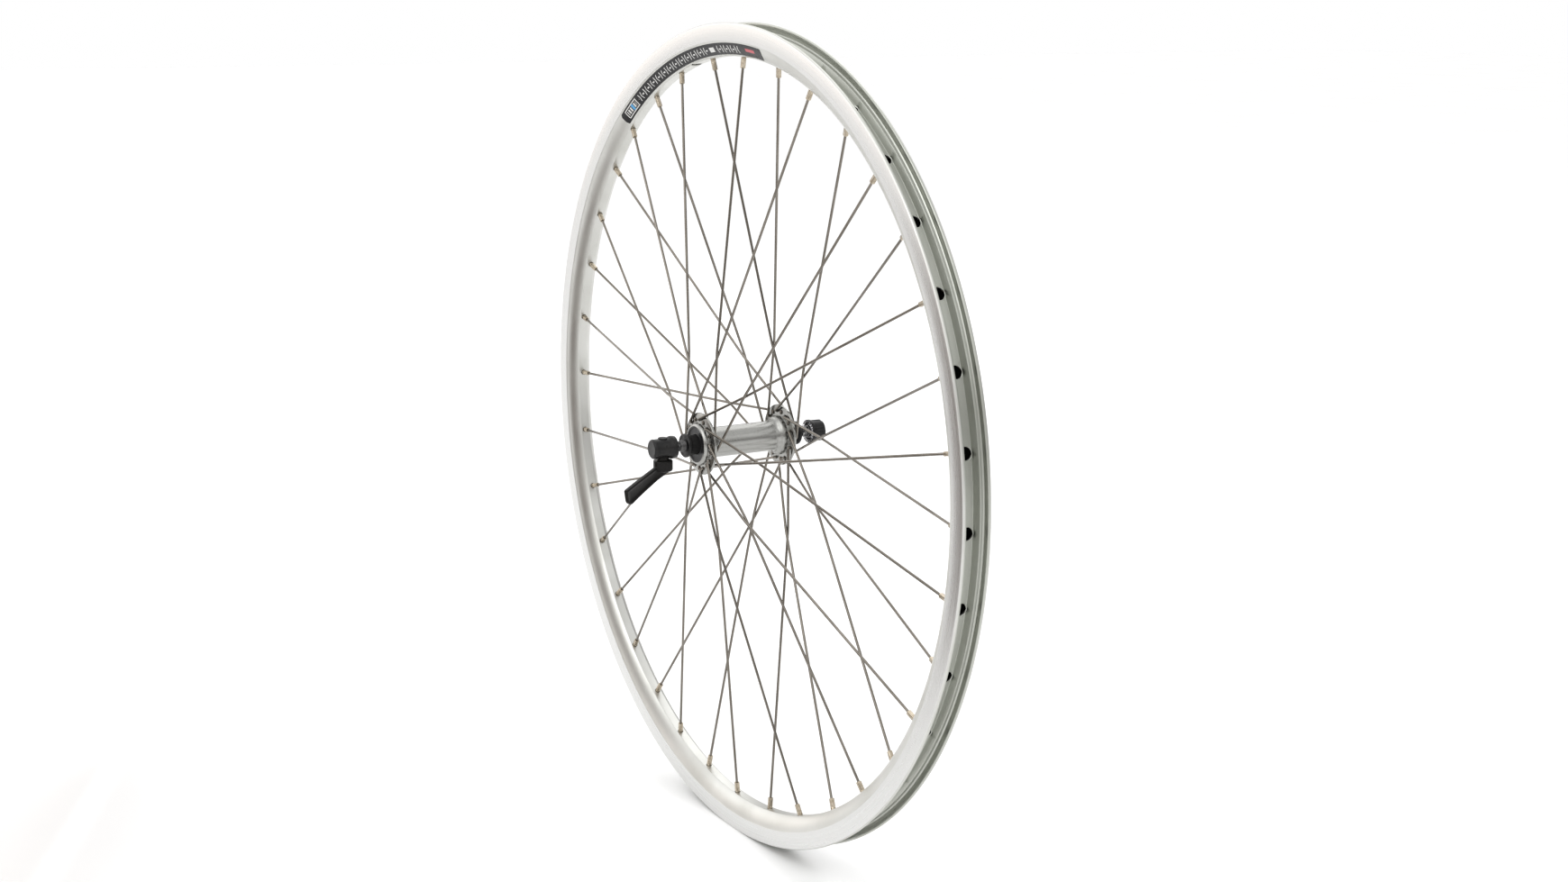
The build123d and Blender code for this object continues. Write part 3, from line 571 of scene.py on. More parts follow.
def metal(name, colour, worn, roughness, lines=3.0, waver=4.0, depth=0.02, blotch=12.0,
          polish=0.08, scratch=2.0, scratch_depth=0.01):
    """Turned or drawn metal: tool lines, blotches that change the polish, and fine scratches."""
    material, tree, shader = blank_material(name, 1.0)
    tool = place_group(tree, TURNED_LINES, Lines_per_Millimetre=lines, Waver=waver)
    hand = place_group(tree, HANDLING, Blotch_Size=blotch, Scratch_Size=scratch)
    tone = mixed(tree, spread(tree, hand.outputs[0], 0.0, 1.0), colour, worn)
    tree.links.new(tone, shader.inputs["Base Color"])
    satin = spread(tree, hand.outputs[0], roughness - polish, roughness + polish)
    rough = math_node(tree, "ADD", satin, math_node(tree, "MULTIPLY", hand.outputs[1], 0.12))
    tree.links.new(rough, shader.inputs["Roughness"])
    first = bump(tree, tool.outputs["Height"], depth, 0.5)
    tree.links.new(bump(tree, hand.outputs[1], -scratch_depth, 0.4, first), shader.inputs["Normal"])
    return material, tree, shader, tool


def moulding(name, colour, worn, roughness, grain=0.3, depth=0.03, coat=0.0, blotch=9.0,
             polish=0.07):
    """Plastic, rubber or paint: a shallow grain, and rubbed places that are a little glossier."""
    material, tree, shader = blank_material(name, 0.0, Coat_Weight=coat, Coat_Roughness=0.25,
                                            Specular_IOR_Level=0.18)
    skin = place_group(tree, GRAIN, Grain_Size=grain)
    hand = place_group(tree, HANDLING, Blotch_Size=blotch, Scratch_Size=1.6)
    tone = mixed(tree, spread(tree, hand.outputs[0], 0.0, 1.0), colour, worn)
    tone = mixed(tree, math_node(tree, "MULTIPLY", hand.outputs[1], 0.25), tone, worn)
    tree.links.new(tone, shader.inputs["Base Color"])
    tree.links.new(spread(tree, hand.outputs[0], roughness + polish, roughness - polish),
                   shader.inputs["Roughness"])
    tree.links.new(bump(tree, skin.outputs["Height"], depth, 0.5), shader.inputs["Normal"])
    return material


# %% [markdown]
# ## The finishes of this wheel
# The rim is anodised aluminium, pale and satin, with brake tracks machined bare and brighter. The
# hub shell is polished, the spokes are drawn stainless wire, the nipples are nickel-plated brass
# with a warm tint, and the skewer's handled parts are satin black. Painted textures could show
# this, but they tie a finish to one piece. Nodes that read the object's own place need no painting
# and keep their scale on a part of any size.

# %% Aluminium of the rim, with machined brake tracks and painted shade in the tyre channel
RIM_METAL, tree, shader, tool = metal(
    "anodised aluminium", (0.60, 0.60, 0.575), (0.54, 0.54, 0.51), 0.38, lines=1.6, waver=2.0,
    depth=0.008, blotch=45.0, polish=0.05, scratch=7.0)
on_track = math_node(tree, "MULTIPLY",
                     math_node(tree, "GREATER_THAN", tool.outputs["Radius"], TRACK_BOTTOM),
                     math_node(tree, "GREATER_THAN", tool.outputs["Along"], RIM_HALF - 0.12))
satin = shader.inputs["Roughness"].links[0].from_socket
machined = spread(tree, tool.outputs["Height"], 0.24, 0.36)
tree.links.new(add_node(tree, "ShaderNodeMix", {0: on_track, 2: satin, 3: machined},
                        data_type="FLOAT").outputs[0], shader.inputs["Roughness"])
anodised = shader.inputs["Base Color"].links[0].from_socket
# Painted shade: the tyre channel between the hooks is coloured darker and greener, as the shade in
# that recess.
channel_shade_mask = math_node(tree, "MULTIPLY",
                       math_node(tree, "GREATER_THAN", tool.outputs["Radius"], RIM_FLOOR - 0.3),
                       math_node(tree, "LESS_THAN", tool.outputs["Along"], RIM_HALF - 1.4))
channel_shaded = mixed(tree, channel_shade_mask, anodised, (0.45, 0.46, 0.42))
tree.links.new(mixed(tree, on_track, channel_shaded, (0.66, 0.66, 0.65)), shader.inputs["Base Color"])
print("rim finish:", RIM_METAL.name)

# %% The other metals, and the painted shade inside the rim
# Painted shade: near-black aluminium for the faces of the rim's hollow, so that the holes look
# dark.
CAVITY_SHADE = metal("raw aluminium in the dark", (0.035, 0.035, 0.034), (0.02, 0.02, 0.02), 0.7,
                  lines=1.0, depth=0.02)[0]
HUB_METAL = metal("polished aluminium", (0.35, 0.35, 0.335), (0.325, 0.325, 0.31), 0.26, lines=5.0,
                  waver=3.0, depth=0.0015, blotch=32.0, polish=0.015, scratch_depth=0.0005)[0]
SPOKE_METAL = metal("stainless wire", (0.23, 0.21, 0.185), (0.15, 0.135, 0.115), 0.24, lines=6.0,
                    waver=1.0, depth=0.004, blotch=30.0, polish=0.06)[0]
NIPPLE_METAL = metal("nickelled brass", (0.50, 0.44, 0.35), (0.33, 0.28, 0.21), 0.27, lines=6.0,
                     waver=6.0, depth=0.006, blotch=2.5, polish=0.08)[0]
BEARING_METAL = metal("ground steel", (0.72, 0.72, 0.74), (0.62, 0.62, 0.64), 0.12, lines=8.0,
                      depth=0.003, blotch=6.0, polish=0.04)[0]
PLATED_METAL = metal("plated steel", (0.60, 0.60, 0.61), (0.48, 0.48, 0.47), 0.30, lines=5.0,
                     depth=0.01, blotch=4.0)[0]
BLACK_STEEL = metal("blackened steel", (0.022, 0.022, 0.024), (0.05, 0.049, 0.047), 0.34, lines=5.0,
                    depth=0.012, blotch=3.0)[0]
AXLE_METAL = metal("oiled axle steel", (0.075, 0.075, 0.078), (0.12, 0.118, 0.115), 0.32,
                   lines=5.0, depth=0.01, blotch=3.0)[0]
SPRING_METAL = metal("spring wire", (0.20, 0.20, 0.205), (0.12, 0.12, 0.12), 0.25, lines=6.0,
                     depth=0.004, blotch=3.0)[0]

# %% The black plastics, paint and rubber
LEVER_PAINT = moulding("satin black lever", (0.0035, 0.0032, 0.003), (0.009, 0.0082, 0.0074), 0.33,
                       grain=0.22, depth=0.02, blotch=14.0)
HOUSING_PAINT = moulding("satin black housing", (0.006, 0.006, 0.0065), (0.015, 0.0145, 0.014),
                         0.34, grain=0.25, depth=0.03, coat=0.15)
NUT_PLASTIC = moulding("black nut", (0.005, 0.005, 0.0055), (0.013, 0.013, 0.013), 0.30,
                       grain=0.3, depth=0.02, coat=0.1)
CAP_PLASTIC = moulding("black cap", (0.008, 0.008, 0.0085), (0.018, 0.018, 0.018), 0.33,
                       grain=0.35, depth=0.03, coat=0.15)
BOOT_RUBBER = moulding("boot rubber", (0.008, 0.008, 0.008), (0.018, 0.0175, 0.017), 0.50,
                       grain=0.4, depth=0.05)
print("black finishes:", [m.name for m in (LEVER_PAINT, HOUSING_PAINT, NUT_PLASTIC, CAP_PLASTIC,
                                           BOOT_RUBBER)])


# %% Handing a piece over to the frame
def fit(piece, body, slot, *nodes):
    """The piece rides on its body and stands for its nodes, which are hidden. The slot is not used.
    """
    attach(piece, body)
    if nodes:
        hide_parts(*nodes)
    return piece


# %% [markdown]
# ## Camera, floor and light
# The wheel stands upright and is seen from the lever's side, a little above the axle. The floor
# is plain and pale. A single hard lamp would leave metal black with one glaring spot, so soft
# panels of light on three sides give it long highlights. The camera's direction is kept as two
# vectors, its right and its up, which say more than three angles would.

# %% Camera
LENS = 47.95
SENSOR_WIDTH = 36.0
EYE = (1.39116, -0.76510, 0.33317)
RIGHT = Vector((0.50018, 0.86592, 0.0))
UP = Vector((-0.17868, 0.10321, 0.97848))

camera = put_in_scene("camera", bpy.data.cameras.new("camera"))
camera.data.lens = LENS
camera.data.sensor_width = SENSOR_WIDTH
camera.location = EYE
camera.rotation_euler = Matrix((RIGHT, UP, RIGHT.cross(UP))).transposed().to_euler()
bpy.context.scene.camera = camera
print("camera at", tuple(round(c, 3) for c in camera.location))


# %% Floor
def flat_panel(name, size, centre, facing, material):
    """A square sheet of a size in metres, turned to face a direction."""
    half = size / 2
    mesh = new_mesh(name, [(-half, -half, 0), (half, -half, 0), (half, half, 0), (-half, half, 0)],
                    [(0, 1, 2, 3)])
    turn = Vector(facing).to_track_quat("Z", "Y").to_matrix().to_4x4()
    mesh.transform(Matrix.Translation(centre) @ turn)
    mesh.materials.append(material)
    made = put_in_scene(name, mesh)
    return made


def cloudy_paint(name, scale, first, second, roughness):
    """Flat paint with soft clouds between two tones."""
    material, tree, shader = blank_material(name, 0.0, Roughness=roughness)
    cloud = add_node(tree, "ShaderNodeTexNoise", {
        "Vector": add_node(tree, "ShaderNodeTexCoord").outputs["Object"], "Scale": scale})
    tree.links.new(mixed(tree, spread(tree, cloud.outputs[0], 0.0, 1.0), first, second),
                   shader.inputs["Base Color"])
    return material


FLOOR_PAINT = cloudy_paint("floor paint", 3.0, (0.94, 0.94, 0.94), (0.96, 0.96, 0.96), 0.75)
floor_height = -RIM_TOP * MM
flat_panel("floor", 40.0, (0, 0, floor_height), (0, 0, 1), FLOOR_PAINT)
print("floor at", round(floor_height, 4), "m")

# %% [markdown]
# ## What the metal reflects
# Metal looks like what stands round it. A picture of a room could be wrapped round the scene, but
# this room is made of nodes: bright above, darker at eye level, and one broad bright panel, which
# gives the rim its bands. The camera itself sees only white. A warm grey card, which the camera
# doesn't see, stands beside the hub and darkens one side of it.

# %% Daylight and soft lights
world = bpy.data.worlds.new("studio")
bpy.context.scene.world = world
bpy.context.scene.view_settings.view_transform = "Standard"
world.use_nodes = True
tree = world.node_tree
towards = add_node(tree, "ShaderNodeSeparateXYZ", {0: add_node(
    tree, "ShaderNodeTexCoord").outputs["Generated"]})
ceiling = spread(tree, towards.outputs[2], 0.20, 1.12, 0.04, 0.5)
window = math_node(tree, "ADD", math_node(tree, "MULTIPLY", towards.outputs[0], -0.10),
                   math_node(tree, "MULTIPLY", towards.outputs[1], -0.16))
panel = spread(tree, math_node(
    tree, "ADD", math_node(tree, "MULTIPLY", towards.outputs[0], -0.87),
    math_node(tree, "MULTIPLY", towards.outputs[1], -0.48)), 0.0, 1.25, 0.76, 0.94)
room = math_node(tree, "ADD", math_node(tree, "ADD", ceiling, window), panel)
plain = add_node(tree, "ShaderNodeLightPath").outputs["Is Camera Ray"]
tint = mixed(tree, spread(tree, towards.outputs[2], 0.0, 1.0, 0.0, 0.4), (1.0, 0.94, 0.90),
             (1.0, 1.0, 1.0))
seen = mixed(tree, plain, tint, (1.0, 1.0, 1.0))
sky = tree.nodes["Background"]
tree.links.new(seen, sky.inputs[0])
power = add_node(tree, "ShaderNodeMix", {0: plain, 2: room, 3: 1.0}, data_type="FLOAT")
tree.links.new(power.outputs[0], sky.inputs[1])


def soft_light(name, place, target, size, power):
    """A square area light that looks at a point."""
    light = bpy.data.lights.new(name, "AREA")
    light.shape = "SQUARE"
    light.size = size
    light.energy = power
    lamp = put_in_scene(name, light)
    lamp.location = place
    lamp.rotation_euler = (Vector(target) - Vector(place)).to_track_quat("-Z", "Y").to_euler()
    return lamp


soft_light("key light", (0.6, -2.6, 2.2), (0, 0, 0), 3.0, 40)
soft_light("fill light", (2.6, 0.6, 1.4), (0, 0, 0), 3.0, 10)
soft_light("back light", (-1.8, 1.8, 2.4), (0, 0, 0), 3.0, 26)
print("soft lights:", [light.name for light in bpy.data.lights])

# %% A card that gives the metal its darker side
CARD_PAINT = cloudy_paint("warm grey card", 4.0, (0.16, 0.13, 0.11), (0.20, 0.165, 0.145), 0.5)
card = flat_panel("card", 0.42, (-0.24, -0.50, -0.10), (0.45, 1.0, 0.1), CARD_PAINT)
card.visible_camera = False
card.visible_shadow = False
print("card behind the lever:", card.name)

# %% [markdown]
# ## The rim
# A clincher rim is one aluminium extrusion rolled into a hoop: a box with a tyre channel on top,
# hooked flanges for the tyre's bead, a well in the middle, and flat brake tracks down the sides.
# A curve with a profile could sweep it. Its shape follows a rule, a section round a circle, so
# the lathe tree makes it, and the holes can be drilled by the same means as the hub's. The
# hollow inside is turned as a second ring and taken out, and then every hole is drilled.

# %% Section of the rim
RIM_WALL = 1.8
HOOK_DEPTH = 1.0
EDGE_ROUND = 1.2
BED_WALL = 1.6
inside = RIM_HALF - RIM_WALL
hook = inside - HOOK_DEPTH
rim_half_section = section(
    (RIM_BED, 0),
    (RIM_BED, BED_HALF),
    ((RIM_BED + 6.2, WALL_HALF - 2.1), (TRACK_BOTTOM, WALL_HALF)),
    (TRACK_BOTTOM, RIM_HALF),
    (RIM_TOP - EDGE_ROUND, RIM_HALF),
    ((RIM_TOP - 0.3 * EDGE_ROUND, RIM_HALF - 0.3 * EDGE_ROUND), (RIM_TOP, RIM_HALF - EDGE_ROUND)),
    (RIM_TOP, inside),
    ((RIM_TOP - 0.3, hook + 0.3), (RIM_TOP - 1.0, hook)),
    (RIM_TOP - 2.2, hook),
    (RIM_TOP - 3.2, inside),
    (BEAD_SEAT + 0.8, inside),
    (BEAD_SEAT, inside - 0.8),
    (BEAD_SEAT - 0.4, WELL_HALF + 2.6),
    (RIM_FLOOR + 0.9, WELL_HALF + 0.5),
    (RIM_FLOOR, WELL_HALF),
    (RIM_FLOOR, 0),
    arc=7)
cavity_half = inside - 0.2
rim_cavity_half = section(
    (RIM_BED + BED_WALL, 0),
    (RIM_BED + BED_WALL, BED_HALF - 0.5),
    ((RIM_BED + 6.6, cavity_half - 1.9), (TRACK_BOTTOM - 0.4, cavity_half)),
    (BEAD_SEAT - 2.3, cavity_half),
    (BEAD_SEAT - 2.1, WELL_HALF + 2.8),
    (RIM_FLOOR - 1.4, WELL_HALF - 0.2),
    (RIM_FLOOR - 1.4, 0))
rim_half_section = [(min(r, RIM_TOP - 0.02), y) for r, y in rim_half_section]
rim_ring = turned("rim_hoop", soften(both_halves(rim_half_section), 0.22), RIM_METAL, segments=432)
cavity = turned("cavity", both_halves(rim_cavity_half), RIM_METAL, segments=216)
print("rim section:", len(rim_ring.data.polygons) // 432, "faces round it")

# %% [markdown]
# ## Where each spoke runs
# Every spoke leaves a flange hole, turns through its elbow, bends a little where it passes its
# neighbour at the third crossing, and ends in a nipple. Four spokes repeat all the way round:
# outside and inside the flange, on the lever's side and on the nut's side. The routes could be
# drawn one by one, but the lacing is a rule, so each one is worked out, and the holes in rim and
# hub are drilled from the same routes, so that nothing can miss.

# %% The lacing
ELBOW = 1.6
OUTER_ELBOW = FLANGE_OUTER + ELBOW + 0.25
INNER_ELBOW = FLANGE_INNER - ELBOW - 0.05
SEAT_RADIUS = 3.6
SPOKE_HOLE = 2.3
SEAT_GAP = 0.25
SEAT_CENTRE = RIM_BED + BED_WALL + sqrt(SEAT_RADIUS**2 - SPOKE_HOLE**2) + SEAT_GAP
LACING = {
    "lever_side_outer_spokes": (-1, 0, 1, True),
    "lever_side_inner_spokes": (-1, 2, -1, False),
    "nut_side_outer_spokes": (1, 1, -1, True),
    "nut_side_inner_spokes": (1, 3, 1, False),
}


def spoke_route(side, hole, way, outside):
    """Head, elbow, crossing and nipple centre of one spoke, in millimetres."""
    rim_angle = FIRST_HOLE - hole * HOLE_STEP
    hub_angle = rim_angle + way * LACING_ANGLE
    elbow_y = OUTER_ELBOW if outside else INNER_ELBOW
    head_y = FLANGE_INNER - 0.05 if outside else FLANGE_OUTER + 0.05
    across = SPOKE_CIRCLE * sin(radians(LACING_ANGLE))
    along = SPOKE_CIRCLE * cos(radians(LACING_ANGLE))
    slope = across / (SEAT_CENTRE - along)
    crossing_x = (across + slope * along) / (tan(radians(HOLE_STEP)) + slope)
    share = (crossing_x - along) / (SEAT_CENTRE - along)
    middle_y = (OUTER_ELBOW + INNER_ELBOW) / 2 * (1 - share)
    crossing_y = middle_y + (-1 if outside else 1) * 1.1
    return [polar(SPOKE_CIRCLE, hub_angle, side * head_y),
            polar(SPOKE_CIRCLE, hub_angle, side * elbow_y),
            polar(crossing_x / cos(radians(HOLE_STEP)), rim_angle + way * HOLE_STEP,
                  side * crossing_y),
            polar(SEAT_CENTRE, rim_angle)]


def seats(side=None):
    """Marks at the nipples: where each sits and the way its spoke points."""
    found = []
    for set_side, first, way, outside in LACING.values():
        if side in (None, set_side):
            for hole in range(first, SPOKES, 4):
                route = spoke_route(set_side, hole, way, outside)
                out = (route[3] - route[2]).normalized()
                found.append((route[3], out, Vector((0, 1, 0)).cross(out).normalized()))
    return found


def round_marks(radius, angles):
    """Marks on the rim's middle line that face outwards."""
    return [(polar(radius, a), polar(1, a), Vector((0, 1, 0))) for a in angles]


print("spoke route:", round(sum((b - a).length for a, b in zip(
    spoke_route(-1, 0, 1, True), spoke_route(-1, 0, 1, True)[1:])), 1), "mm")

# %% Drills for the rim
ACCESS_HOLE = 4.5
VALVE_HOLE = 4.25
CHAMFER = 0.25
spoke_drill = turned("spoke_drill", [
    (0, -9), (SPOKE_HOLE, -9), (SPOKE_HOLE, -1), (0, -1)], RIM_METAL, 32)
access_drill = turned("access_drill", [
    (0, -4), (ACCESS_HOLE, -4), (ACCESS_HOLE, -0.3), (ACCESS_HOLE + 0.45, 0.12),
    (ACCESS_HOLE + 0.45, 3), (0, 3)], RIM_METAL, 48)
valve_drill = turned("valve_drill", [
    (0, -17.4), (VALVE_HOLE + CHAMFER, -17.4), (VALVE_HOLE + CHAMFER, -13.3),
    (VALVE_HOLE, -13.0), (VALVE_HOLE, 3), (0, 3)], RIM_METAL, 48)
hole_angles = [FIRST_HOLE - n * HOLE_STEP for n in range(SPOKES)]

# %% Hollow and drill the rim
centre_mark = marks([(Vector((0, 0, 0)), Vector((0, 1, 0)), Vector((1, 0, 0)))])
rim = worked(rim_ring, RIM_METAL, [
    (DRILL, cavity, centre_mark),
    (DRILL, spoke_drill, marks(seats())),
    (DRILL, access_drill, marks(round_marks(RIM_FLOOR, hole_angles))),
    (DRILL, valve_drill, marks(round_marks(RIM_FLOOR, [VALVE_ANGLE]))),
])


def paint_shade_inside(piece, material, line, reach=0.12):
    """Gives a second material to the faces that lie along a closed line of a turned section: here a
    near-black painted shade.
    """
    piece.data.materials.append(material)
    count = 0
    for polygon in piece.data.polygons:
        spot = polygon.center / MM
        here = Vector((hypot(spot.x, spot.z), abs(spot.y), 0))
        for (r0, y0), (r1, y1) in zip(line, line[1:]):
            start, end = Vector((r0, y0, 0)), Vector((r1, y1, 0))
            along = end - start
            share = max(0.0, min(1.0, (here - start).dot(along) / along.length_squared))
            if (here - start - along * share).length < reach:
                polygon.material_index = len(piece.data.materials) - 1
                count += 1
                break
    print(piece.name, "has", count, "faces inside")


# The hollow's faces take the near-black painted shade, which darkens what is seen through the
# holes.
paint_shade_inside(rim, CAVITY_SHADE, rim_cavity_half)
fit(rim, "wheel", "anodised_silver", "rim")

# %% [markdown]
# ## The printed strip
# A thin film is stuck under the brake track on the lever's side. It could be paint in the rim's
# own material, but a real film has an edge that shows. It is a band of its own that follows the
# wall's curve, with rounded ends, and it has its own UV map: U runs along the strip and V across
# it, both in millimetres, so the printed marks keep their size. The marks are plain ticks,
# a framed patch and a red tab, and spell nothing.


# %% Print of the strip
TICK_PITCH = 10.6


def make_strip_print(length, height):
    material, tree, shader = blank_material("printed film", 0.0, Coat_Weight=0.12,
                                            Coat_Roughness=0.3, Specular_IOR_Level=0.15)
    uv = add_node(tree, "ShaderNodeSeparateXYZ", {0: add_node(tree, "ShaderNodeUVMap").outputs[0]})
    u, v = uv.outputs[0], uv.outputs[1]

    def band(value, low, high):
        return math_node(tree, "MULTIPLY", math_node(tree, "GREATER_THAN", value, low),
                         math_node(tree, "LESS_THAN", value, high))

    def patch(u0, u1, v0, v1):
        return math_node(tree, "MULTIPLY", band(u, u0, u1), band(v, v0, v1))

    def either(a, b):
        return math_node(tree, "MAXIMUM", a, b)

    middle = height / 2
    off_middle = math_node(tree, "ABSOLUTE", math_node(tree, "SUBTRACT", v, middle))
    cell = math_node(tree, "ABSOLUTE", math_node(tree, "SUBTRACT", math_node(
        tree, "FRACT", math_node(tree, "DIVIDE", u, TICK_PITCH)), 0.5))
    cell_mm = math_node(tree, "MULTIPLY", cell, TICK_PITCH)
    leaning = math_node(tree, "ABSOLUTE", math_node(tree, "SUBTRACT", cell_mm, math_node(
        tree, "ADD", 1.5, math_node(tree, "MULTIPLY", off_middle, 0.32))))
    tick = math_node(tree, "MULTIPLY", math_node(tree, "LESS_THAN", leaning, 0.45),
                     math_node(tree, "LESS_THAN", off_middle, 3.0))
    dash = math_node(tree, "MULTIPLY", math_node(tree, "GREATER_THAN", cell_mm, 3.9),
                     math_node(tree, "LESS_THAN", off_middle, 0.55))
    rows = math_node(tree, "MULTIPLY", either(tick, dash), either(
        band(u, 33, length * 0.66), band(u, length * 0.72, length * 0.86)))
    frame_outer = patch(7, 29, middle - 3.6, middle + 3.6)
    frame_inner = patch(8.0, 28.0, middle - 2.8, middle + 2.8)
    frame_line = math_node(tree, "SUBTRACT", frame_outer, frame_inner)
    slats = math_node(tree, "MULTIPLY", patch(9.5, 26.5, middle - 1.9, middle + 1.9), math_node(
        tree, "GREATER_THAN", math_node(tree, "FRACT", math_node(tree, "DIVIDE", u, 3.5)), 0.42))
    crest = patch(length * 0.67, length * 0.70, middle - 2.0, middle + 2.0)
    white = either(either(rows, frame_line), either(slats, crest))
    blue = patch(18.6, 21.6, middle - 2.6, middle + 2.6)
    red = patch(length * 0.90, length * 0.955, middle - 0.4, middle + 2.2)
    hand = place_group(tree, HANDLING, Blotch_Size=6.0, Scratch_Size=2.0)
    ink = mixed(tree, hand.outputs[0], (0.006, 0.006, 0.007), (0.014, 0.014, 0.015))
    colour = mixed(tree, math_node(tree, "MULTIPLY", white, 0.9), ink, (0.72, 0.72, 0.70))
    colour = mixed(tree, blue, colour, (0.10, 0.34, 0.62))
    colour = mixed(tree, math_node(tree, "MULTIPLY", red, 0.8), colour, (0.62, 0.12, 0.14))
    tree.links.new(colour, shader.inputs["Base Color"])
    tree.links.new(spread(tree, hand.outputs[0], 0.22, 0.36), shader.inputs["Roughness"])
    tree.links.new(bump(tree, white, 0.01, 0.3), shader.inputs["Normal"])
    return material


# %% Shape of the strip
def strip_mesh(name, first, last, low, high, thickness, corner):
    """A curved band on the wall at the lever's side, with rounded ends and a UV map in mm."""
    wall = section((RIM_BED, -BED_HALF), ((RIM_BED + 6.2, 2.1 - WALL_HALF),
                                          (TRACK_BOTTOM, -WALL_HALF)), arc=60)
    reach = [0.0]
    for a, b in zip(wall, wall[1:]):
        reach.append(reach[-1] + sqrt((b[0] - a[0])**2 + (b[1] - a[1])**2))

    def on_wall(radius, lift):
        for n, (a, b) in enumerate(zip(wall, wall[1:])):
            if radius <= b[0] + 1e-9:
                t = (radius - a[0]) / (b[0] - a[0])
                along = Vector(b) - Vector(a)
                normal = Vector((along.y, -along.x)).normalized()
                spot = Vector(a) + along * t + normal * lift
                return spot, reach[n] + t * along.length
        return on_wall(wall[-1][0], lift)

    middle_radius = (low + high) / 2
    length = radians(last - first) * middle_radius
    stations, rows = 220, 8
    bottom = on_wall(low, 0)[1]
    verts, uvs, faces = [], [], []
    for lift in (0.004, thickness):
        for n in range(stations + 1):
            along = length * n / stations
            end = min(along, length - along)
            inset = corner - sqrt(max(0.0, corner**2 - (corner - end)**2)) if end < corner else 0.0
            angle = radians(last) - along / middle_radius
            for m in range(rows + 1):
                radius = (low + inset) + (high - low - 2 * inset) * m / rows
                spot, across = on_wall(radius, lift)
                verts.append(Vector((spot.x * cos(angle), spot.y, spot.x * sin(angle))) * MM)
                uvs.append((along, across - bottom))
    wide = rows + 1
    sheet = (stations + 1) * wide
    for n in range(stations):
        for m in range(rows):
            a = n * wide + m
            faces.append((a + wide, a + wide + 1, a + 1, a))
            faces.append((sheet + a, sheet + a + 1, sheet + a + wide + 1, sheet + a + wide))
    rim_loop = [n * wide for n in range(stations)] + [stations * wide + m for m in range(rows)] \
        + [n * wide + rows for n in range(stations, 0, -1)] + [m for m in range(rows, 0, -1)]
    for a, b in zip(rim_loop, rim_loop[1:] + rim_loop[:1]):
        faces.append((a, b, sheet + b, sheet + a))
    mesh = new_mesh(name, verts, faces)
    layer = mesh.uv_layers.new(name="strip")
    for loop in mesh.loops:
        layer.data[loop.index].uv = uvs[loop.vertex_index]
    mesh.shade_smooth()
    mesh.set_sharp_from_angle(angle=radians(40))
    height = on_wall(high, 0)[1] - bottom
    print(f"{name}: {length:.1f} mm long, {height:.1f} mm high")
    return put_in_scene(name, mesh), length, height


STRIP_FIRST, STRIP_LAST = 80.5, 127.5
STRIP_EDGE = 1.4
STRIP_THICKNESS = 0.12
STRIP_CORNER = 2.0
strip, strip_length, strip_height = strip_mesh(
    "rim_strip", STRIP_FIRST, STRIP_LAST, RIM_BED + STRIP_EDGE, TRACK_BOTTOM - STRIP_EDGE,
    STRIP_THICKNESS, STRIP_CORNER)
strip.data.materials.append(make_strip_print(strip_length, strip_height))
fit(strip, "wheel", "decal_film", "rim_decal")

# %% [markdown]
# ## Spokes
# A spoke is drawn wire with a flat head. A curve with a bevel could make each of them, but nine
# in a set are alike. The route is a curve, and a tree sweeps the wire along it, adds the head, and
# turns nine copies round the axle. That makes one set, and there are four.


# %% The spoke tree
def make_spoke_tree():
    tree, given, result = new_tree(
        "Lace one set of spokes", "GeometryNodeTree",
        [("Geometry", "NodeSocketGeometry", None), ("Head", "NodeSocketObject", None),
         ("Wire Radius", "NodeSocketFloat", 0.001), ("Copies", "NodeSocketInt", 9),
         ("Step", "NodeSocketFloat", 0.7), ("Material", "NodeSocketMaterial", None)],
        [("Geometry", "NodeSocketGeometry")])
    wire = swept_wire(tree, given["Geometry"], given["Wire Radius"], sides=14)
    head = add_node(tree, "GeometryNodeObjectInfo", {"Object": given["Head"]})
    whole = add_node(tree, "GeometryNodeJoinGeometry")
    tree.links.new(wire, whole.inputs[0])
    tree.links.new(head.outputs["Geometry"], whole.inputs[0])
    stack = add_node(tree, "GeometryNodeMeshLine", {
        "Count": given["Copies"], "Offset": (0.0, 0.0, 0.0)})
    turn = add_node(tree, "ShaderNodeCombineXYZ", {1: math_node(
        tree, "MULTIPLY", add_node(tree, "GeometryNodeInputIndex").outputs[0], given["Step"])})
    copies = add_node(tree, "GeometryNodeInstanceOnPoints", {
        "Points": stack.outputs[0], "Instance": whole.outputs[0], "Rotation": turn.outputs[0]})
    return end_tree(tree, copies.outputs[0], given["Material"], result)


# %% Rounding a route's bends
def rounded_route(points, radii, steps):
    """Straight runs with a tangent arc of so many steps at each inner point."""
    route = [points[0]]
    for before, corner, after, radius, count in zip(points, points[1:], points[2:], radii, steps):
        into, out = (corner - before).normalized(), (after - corner).normalized()
        turn = acos(max(-1.0, min(1.0, into.dot(out))))
        reach = radius * tan(turn / 2)
        centre = corner + (out - into).normalized() * (radius / cos(turn / 2))
        start = corner - into * reach - centre
        axis = into.cross(out).normalized()
        for n in range(count + 1):
            route.append(centre + Matrix.Rotation(turn * n / count, 3, axis) @ start)
    return route + [points[-1]]


def route_curve(name, points):
    """A polyline curve in metres."""
    curve = bpy.data.curves.new(name, "CURVE")
    curve.dimensions = "3D"
    line = curve.splines.new("POLY")
    line.points.add(len(points) - 1)
    for place, point in zip(line.points, points):
        place.co = (*(point * MM), 1.0)
    return curve


